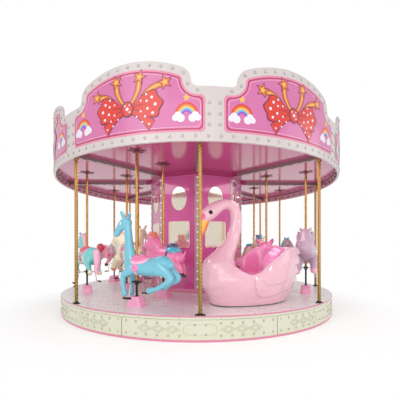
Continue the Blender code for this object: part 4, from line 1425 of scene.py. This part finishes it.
def foot_bar():
    """A round bar along a smooth line that lies in the plane square to the way of travel."""
    path = both_sides(np.array(FOOT_BAR))
    line = spline(np.column_stack([np.zeros(len(path)), path]), 60)
    along = np.gradient(line, axis=0)
    along /= np.linalg.norm(along, axis=1, keepdims=True)
    aside = np.array([1.0, 0.0, 0.0])
    above = np.cross(along, aside)[:, None]
    turn = turns(10)[None, :, None]
    return line[:, None] + FOOT_BAR_R * (aside * np.cos(turn) + above * np.sin(turn))


def add_covers(nodes, looks):
    """The pink box over each rod: tapering sides with rounded edges, and a rubber sleeve in its top."""
    corner = 0.012
    square = np.clip(circle(32) * 3, -1, 1)
    foot_size, top_size = np.array([0.113, 0.086]), np.array([0.064, 0.072])
    # Shares of the height, and how far the top's edge is rounded in there
    levels = ((0.0, 0.0), (0.03, 0.0), (0.5, 0.0), (0.94, 0.0), (0.985, 0.003), (1.0, 0.009))
    for label in labels(nodes, "cover_"):
        name = f"cover_{label}"
        low, high = (np.array(end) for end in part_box(name))
        x, y, _ = (low + high) / 2
        place = local_frame((x, y, low[2]), math.atan2(x, -y))
        tall = high[2] - low[2]
        rings = []
        for share, inset in levels:
            size = foot_size * (1 - share) + top_size * share - corner - inset
            rings.append(at_height(square * size + circle(32) * corner, tall * share))
        rings += [at_height(0.026 * circle(32), height) for height in (tall, 0.0)]
        sleeve = [(0.0185, tall - 0.02), (0.0295, tall - 0.02), (0.0295, tall + 0.003),
                  (0.0265, tall + 0.006), (0.0185, tall + 0.006)]
        shape = Shape()
        for surface, finish in ((np.array(rings), "pale_pink"), (lathe(sleeve, 20), "rubber")):
            shape.grid(place(surface), finish, wrap_rows=True, wrap_columns=True)
        piece = shape.build(f"pink_{name}", "turntable", looks, smooth_angle=50)
        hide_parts(name)


def add_ceiling_trim(nodes, looks):
    """A dark rosette where each pole meets the ceiling, lamps under the beams and a dark edge."""
    shape, lamps = Shape(), Shape()
    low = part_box("ceiling")[0][2]
    turn = turns(72)
    petals = 0.104 + 0.024 * np.cos(6 * turn)
    hole = POLE_R + 0.002
    rosette = ring_stack(((hole, -0.0004), (petals, -0.0004), (petals, -0.0025), (petals * 0.8, -0.0045),
                          (0.03, -0.006), (0.028, -0.02), (hole, -0.02)), turn)
    for label in labels(nodes, "pole_"):
        start, end = (np.array(corner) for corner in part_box(f"pole_{label}"))
        shape.grid(rosette + [*((start + end) / 2)[:2], low], "maroon", wrap_rows=True, wrap_columns=True)
    edge = circle(8) * 0.006 + [CROWN_R - CROWN_T - 0.008, low - 0.0062]
    shape.grid(lathe(edge, RING_SIDES), "smoke", wrap_rows=True, wrap_columns=True)
    beam_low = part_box("canopy_beams")[0][2]
    down = np.broadcast_to([(1.0, 0, 0), (0, -1.0, 0), (0, 0, -1.0)], (9, 3, 3))
    for beam in turns(SECTORS):
        places = around(np.linspace(1.08, 2.28, 9), beam, beam_low)
        add_lamps(lamps, np.concatenate([places[:, None], down], axis=1), BEAM_LAMP_R, "crown_lamp")
    shape.build("ceiling_trim", "turntable", looks)
    lamps.build("beam_lamps", "turntable", looks)


# Swan chariots

SWAN_R = 1.77
SWAN_TURNS = {"front": math.radians(22.5), "back": math.radians(-157.5)}
SWAN_NECK = ((420, 0, 340, 200, 240), (425, 0, 400, 242, 262), (425, 0, 485, 254, 268),
             (400, 0, 565, 212, 225), (352, 0, 665, 148, 155), (276, 0, 790, 110, 110),
             (210, 0, 930, 90, 88), (174, 0, 1080, 83, 82), (168, 0, 1210, 80, 78), (204, 0, 1320, 75, 74),
             (290, 0, 1372, 72, 73), (395, 0, 1358, 76, 78), (490, 0, 1305, 90, 90), (575, 0, 1242, 101, 97),
             (630, 0, 1185, 80, 78), (660, 0, 1145, 52, 54))
SWAN_BEAK = ((640, 0, 1175, 52, 50), (660, 0, 1120, 50, 46), (690, 0, 1035, 40, 38), (717, 0, 960, 24, 27),
             (730, 0, 925, 11, 15))
SWAN_CHIN = ((612, 0, 1140, 30, 34), (634, 0, 1080, 32, 35), (661, 0, 1005, 27, 29), (688, 0, 940, 15, 19))
SWAN_SKIN, SWAN_TAIL, SWAN_LINER = shade(231, 176, 192), shade(240, 192, 208), shade(248, 144, 198)
BEAK_YELLOW, BEAK_RED, KNOB_PINK = shade(252, 182, 10), shade(232, 84, 24), shade(240, 96, 158)
# The knob over the beak, and the eyes: (forward, outward, up)
SWAN_KNOB = (0.665, 0, 1.185)
SWAN_KNOB_R = 0.062
SWAN_EYE = (0.605, 0.089, 1.238)
SWAN_EYE_R = 0.028


def swan_outline(level):
    """The hull's middle, half length and half width at a level from 0 at the deck to 1 at the rim."""
    flare = np.sin(np.clip(level, 0, 1) * math.pi / 2) ** 0.8
    bow = 0.53 + 0.15 * np.clip(level * 1.75, 0, 1)
    stern = -0.66 - 0.28 * np.clip(level, 0, 1) ** 0.6
    width = 0.30 + 0.135 * flare
    return (bow + stern) / 2, (bow - stern) / 2, width


def swan_rim(x):
    """How high the rim stands along the hull: hidden at the breast, low amidships, highest at the tail."""
    return np.interp(x, (-0.95, -0.75, -0.55, -0.46, -0.376, -0.292, -0.209, -0.128, -0.07, -0.02, 0.03, 0.08,
                         0.13, 0.19, 0.258, 0.331, 0.396, 0.46, 0.54, 0.70),
                     (0.785, 0.785, 0.78, 0.775, 0.745, 0.695, 0.64, 0.60, 0.565, 0.52, 0.472, 0.438,
                      0.426, 0.431, 0.465, 0.53, 0.585, 0.60, 0.56, 0.44))


def swan_taper(share, level):
    """How much of its width the hull keeps towards the stern: the foot is blunt and the tail is drawn in."""
    return 1 - (0.30 + 0.40 * level) * share**2.6


def hull_ring(level, turn, inset):
    """One ring of the hull: an egg whose stern is drawn in to a tail, moved inwards by the inset."""
    middle, half_length, half_width = swan_outline(level)
    x = middle + (half_length - inset) * np.cos(turn)
    share = np.clip((middle - x) / half_length, 0, 1)
    y = (half_width - inset) * np.sign(np.sin(turn)) * np.abs(np.sin(turn)) ** 0.82 * swan_taper(share, level)
    z = swan_rim(x) * level
    y = y * (1 - 0.42 * np.clip((x - 0.16) / 0.22, 0, 1) * np.clip((z - 0.36) / 0.22, 0, 1) ** 1.4)
    return np.stack([x, y, z], axis=-1)


def soft_step(value, width):
    share = np.clip(value / width, 0, 1)
    return share * share * (3 - 2 * share)


def add_feathers(points):
    """Raises the wings and the tail's lobes on the outside of the hull, after the skin has been made."""
    x, y, z = points.T
    level = np.clip(z / swan_rim(x), 0, 1)
    middle, half_length, half_width = swan_outline(level)
    share = np.clip((middle - x) / half_length, 0, 1)
    reach = np.hypot((x - middle) / half_length, y / (half_width * swan_taper(share, level)))
    outer = soft_step(reach - 0.93, 0.03) * (z < swan_rim(x) + 0.01)
    lower = np.interp(x, (-0.9, -0.6, -0.33, -0.1, 0.02, 0.09, 0.13, 0.16),
                      (0.30, 0.19, 0.15, 0.11, 0.12, 0.16, 0.26, 0.6))
    upper = np.interp(x, (-0.9, -0.6, -0.3, -0.05, 0.05, 0.1), (0.50, 0.37, 0.29, 0.27, 0.34, 0.6))
    fade = 1 - soft_step(level - 0.78, 0.22)
    raised = (0.022 * soft_step(z - lower, 0.02) + 0.010 * soft_step(z - upper, 0.02)) * fade
    tail = soft_step(-0.5 - x, 0.3) * soft_step(z - 0.05, 0.08)
    lobe = 0.042 * tail * (1 - (z * 7.2 + 0.1) % 1.0)
    away = np.stack([x - middle, y * 1.6], axis=1)
    away /= np.linalg.norm(away, axis=1, keepdims=True)
    moved = points.copy()
    moved[:, :2] += away * ((raised + lobe) * outer)[:, None]
    return moved


def well_floor(x):
    """The floor inside the hull: low for the feet, then a slope up into the tail."""
    return np.interp(x, (-0.9, -0.62, -0.42, -0.30, -0.10, -0.06), (0.745, 0.64, 0.50, 0.40, 0.34, 0.14))


def swan_tub():
    """Rings from the middle of the floor, out and up the hull, over a rolled rim and into the seat well."""
    turn = turns(120) + 1e-3
    rings = [hull_ring(0.0, turn, 0.02)]
    rings += [hull_ring(level, turn, 0.0) for level in np.linspace(0.0, 0.97, 34)]
    rings += [hull_ring(1.0, turn, 0.014), hull_ring(1.0, turn, 0.038)]
    for share in np.linspace(0.03, 1.0, 10):
        ring = hull_ring(1.0 - 0.4 * share, turn, 0.055 + 0.04 * share)
        ring[:, 2] = swan_rim(ring[:, 0]) * (1 - share) + well_floor(ring[:, 0]) * share
        rings.append(ring)
    for shrink in (0.75, 0.5, 0.25, 0.02):
        ring = rings[-1].copy()
        ring[:, :2] *= shrink
        ring[:, 2] = well_floor(ring[:, 0])
        rings.append(ring)
    return np.array(rings)


def seat_shell():
    """The seat's back: a horseshoe that leans in from the rim, climbs backwards and has a scalloped top."""
    turn = np.linspace(-1, 1, 121)[:, None]
    bend = turn * math.pi * 0.60
    round_part = np.clip(bend, -math.pi / 2, math.pi / 2)
    forward = np.abs(bend) - np.abs(round_part)
    middle = -0.13
    foot_back, foot_side, top_back, top_side = 0.46, 0.372, 0.36, 0.268
    foot_x = middle - foot_back * np.cos(round_part) + forward * 0.32
    foot_y = foot_side * np.sin(round_part)
    top_x = middle - top_back * np.cos(round_part) + forward * 0.22
    top_y = (top_side + 0.1 * forward) * np.sin(round_part)
    foot_z = swan_rim(foot_x) - 0.04
    top_z = np.interp(top_x, (-0.49, -0.42, -0.33, -0.27, -0.20, -0.15, -0.10, -0.055),
                      (0.79, 0.785, 0.76, 0.73, 0.688, 0.645, 0.60, 0.555))
    top_z = top_z + 0.014 * np.abs(np.sin(turn * 4.5 * math.pi)) * (np.abs(turn) < 0.89)
    away_x, away_y = top_x - middle, top_y
    away = np.hypot(away_x, away_y)
    away_x, away_y = away_x / away, away_y / away
    columns = []
    for share in np.linspace(0, 1, 9):
        swell = 0.045 * math.sin(math.pi * share)
        columns.append(np.hstack([foot_x + (top_x - foot_x) * share + away_x * swell,
                                  foot_y + (top_y - foot_y) * share + away_y * swell,
                                  foot_z + (top_z - foot_z) * share**0.8]))
    for inset, drop in ((0.008, -0.008), (0.022, -0.010), (0.036, -0.004), (0.046, 0.014), (0.05, 0.05),
                        (0.05, 0.14), (0.045, 0.5)):
        z = np.maximum(top_z - drop, 0.34)
        columns.append(np.hstack([top_x - away_x * inset, top_y - away_y * inset, z]))
    surface = np.stack(columns, axis=1)
    core = np.concatenate([top_x - away_x * 0.022, top_y - away_y * 0.022], axis=1)[:, None]
    ending = np.sqrt(np.clip(1 - (np.clip(np.abs(turn) - 0.9, 0, 1) / 0.1) ** 2, 0, 1))[:, None]
    surface[..., :2] = core + (surface[..., :2] - core) * ending
    return surface


def seat_bench():
    """The bench, crowned and with rounded edges."""
    u, v = np.linspace(-1, 1, 25)[:, None], np.linspace(-1, 1, 15)[None]
    crown = ((1 - u**6) * (1 - v**6)).clip(0, 1) ** 0.5
    return np.stack(np.broadcast_arrays(-0.22 + 0.16 * v, 0.24 * u, 0.33 + 0.085 * crown + 0.01 * v), axis=-1)


def swan_paint(points):
    """Skin, the darker inside with its pale tail part, and the knob over the beak."""
    x, y, z = points.T
    paint = np.tile(SWAN_SKIN, (len(points), 1))
    level = np.clip(z / swan_rim(x), 0, 1)
    middle, half_length, half_width = swan_outline(level)
    share = np.clip((middle - x) / half_length, 0, 1)
    reach = np.hypot((x - middle) / (half_length - 0.034),
                     y / ((half_width - 0.030) * swan_taper(share, level)))
    inside = (reach < 1.0) & (z > 0.12) & (z < swan_rim(x) + 0.004) & (x < 0.27)
    paint[inside & (x > -0.42)] = SWAN_LINER
    paint[inside & (x <= -0.42)] = SWAN_TAIL
    paint[np.linalg.norm(points - SWAN_KNOB, axis=1) < SWAN_KNOB_R] = KNOB_PINK
    return paint


def add_swans(looks):
    points, faces = fused([swan_tub(), limb(SWAN_NECK, 28, 5)], 9)
    paint = swan_paint(points)
    points = add_feathers(points)
    foot = [hull_ring(0.0, turns(96), inset) + [0, 0, z] for inset, z in (
        (0.03, 0.0), (-0.006, 0.0), (-0.009, 0.007), (-0.006, 0.014), (0.03, 0.014))]
    for side, turn in SWAN_TURNS.items():
        x, y, _ = around(SWAN_R, turn, 0.0)
        place = local_frame((x, y, deck_top() + 0.0004), turn)
        shape = Shape()
        shape.add(place(points), faces, "feathered", paint)
        shape.grid(place(seat_shell()), "fibreglass", paint=SWAN_LINER)
        shape.grid(place(seat_bench()), "fibreglass", paint=SWAN_LINER)
        shape.tube(place(limb(SWAN_BEAK, 20, 6)), "fibreglass", paint=BEAK_YELLOW)
        shape.tube(place(limb(SWAN_CHIN, 16, 6)), "fibreglass", paint=BEAK_RED)
        for hand in (-1, 1):
            eye = button(SWAN_EYE_R, 0.7, np.array(SWAN_EYE) * [1, hand, 1], (0.15, hand, 0.05))
            shape.painted(place(eye), BLACK, "rubber")
        shape.grid(place(np.array(foot)), "fibreglass", wrap_rows=True, wrap_columns=True, paint=BLACK)
        piece = shape.build(f"painted_swan_{side}", "turntable", looks, closed=False, smooth_angle=60)
        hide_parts(f"swan_{side}")


# Stage, light and camera

def add_stage():
    """A wide pale floor that brightens to white away from the ride, so that no horizon shows."""
    s = Shader("pale_floor")
    x, y, _ = s.axes()
    away = ((x * x + y * y).maths("SQRT") / 1.3 - 1.85).clamped()
    floor_look = s.finish(
        # Painted light: near the ride the floor still glows faintly, which lightens the ride's shadow on it;
        # further out it glows white.
        Base_Color=s.blend(away, (0.85, 0.845, 0.845), (0.0, 0.0, 0.0)),
        Emission_Color=s.blend(away, (0.2, 0.2, 0.2), (1.0, 1.0, 1.0)),
        Emission_Strength=1.0,
        Roughness=0.6,
        Specular_IOR_Level=0.0,
    )
    size = 60.0
    mesh = bpy.data.meshes.new("floor")
    corners = [(-size, -size, -0.001), (size, -size, -0.001), (size, size, -0.001), (-size, size, -0.001)]
    mesh.from_pydata(corners, [], [(0, 1, 2, 3)])
    mesh.materials.append(floor_look)
    floor = link("floor", mesh)


def aim_angles(way):
    """Turns that point a lamp's or camera's own -Z along a direction."""
    flat = math.hypot(way[0], way[1])
    return math.atan2(flat, -way[2]), 0.0, math.atan2(-way[0], way[1])


def add_light(name, place, aim, energy, size):
    data = bpy.data.lights.new(name, "AREA")
    data.energy = energy
    data.size = size
    lamp = link(name, data)
    lamp.location = place
    lamp.rotation_euler = aim_angles(np.asarray(aim, float) - np.asarray(place, float))
    return lamp


def add_lights():
    """A white surround, four large lamps in front, four under the canopy and two small ones for glints."""
    world = bpy.data.worlds.new("studio")
    world.use_nodes = True
    tree = world.node_tree
    surround = tree.nodes["Background"]
    surround.inputs["Color"].default_value = (1.0, 1.0, 1.0, 1)
    surround.inputs["Strength"].default_value = SURROUND_LIGHT
    backdrop = tree.nodes.new("ShaderNodeBackground")
    backdrop.inputs["Color"].default_value = (1.0, 1.0, 1.0, 1)
    chosen = tree.nodes.new("ShaderNodeMixShader")
    sight = tree.nodes.new("ShaderNodeLightPath")
    tree.links.new(sight.outputs["Is Camera Ray"], chosen.inputs[0])
    tree.links.new(surround.outputs[0], chosen.inputs[1])
    tree.links.new(backdrop.outputs[0], chosen.inputs[2])
    tree.links.new(chosen.outputs[0], tree.nodes["World Output"].inputs["Surface"])
    bpy.context.scene.world = world
    add_light("key", (-4.5, -7.5, 6.0), (0, 0, 1.2), 64, 4.0)
    add_light("fill", (7.4, -3.0, 3.0), (0, 0, 1.0), 54, 4.0)
    add_light("low_front", (0.0, -7.5, 0.9), (0, 0, 0.8), 62, 3.0)
    add_light("deck_front", (-0.5, -7.0, 3.4), (0, -0.8, 0.4), 34, 3.0)
    for i in range(4):
        x, y, z = around(1.75, (i + 0.5) * TAU / 4, 2.28)
        add_light(f"canopy_{i}", (x, y, z), (x, y, 0.0), 6.5, 0.8).visible_camera = False
    add_light("left_glint", (-3.2, -6.0, 3.6), (0, 0, 0.9), 18, 0.4)
    add_light("right_glint", (3.6, -5.2, 2.6), (0.8, 0, 0.8), 16, 0.4)


def add_camera():
    data = bpy.data.cameras.new("camera")
    data.sensor_width = 36
    data.lens = 25.30
    data.shift_x = 0.0088
    data.shift_y = 0.1171
    camera = link("camera", data)
    camera.location = (-0.102, -5.624, 1.085)
    camera.rotation_euler = (math.pi / 2, 0, math.radians(-1.04))
    bpy.context.scene.camera = camera


def dress_nodes(nodes, looks):
    """Better materials on the solids whose shape is already right."""
    for name, look in (("deck", "deck"), ("column", "magenta"), ("ceiling", "ceiling"), ("roof", "roof"),
                       ("canopy_beams", "beam"), ("base_frame", "black"), ("turntable_bearing", "silver")):
        for slot in nodes[name].material_slots:
            slot.material = looks[look]


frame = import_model()
looks = make_finishes()
add_camera()
add_lights()
add_stage()
dress_nodes(frame["nodes"], looks)
add_crown(looks)
add_skirt(looks)
add_deck_trim(looks)
add_posts(looks)
add_column(looks)
add_animals(frame["nodes"], looks)
add_poles(frame["nodes"], looks)
add_covers(frame["nodes"], looks)
add_ceiling_trim(frame["nodes"], looks)
add_swans(looks)
bpy.context.scene.view_settings.view_transform = "Standard"
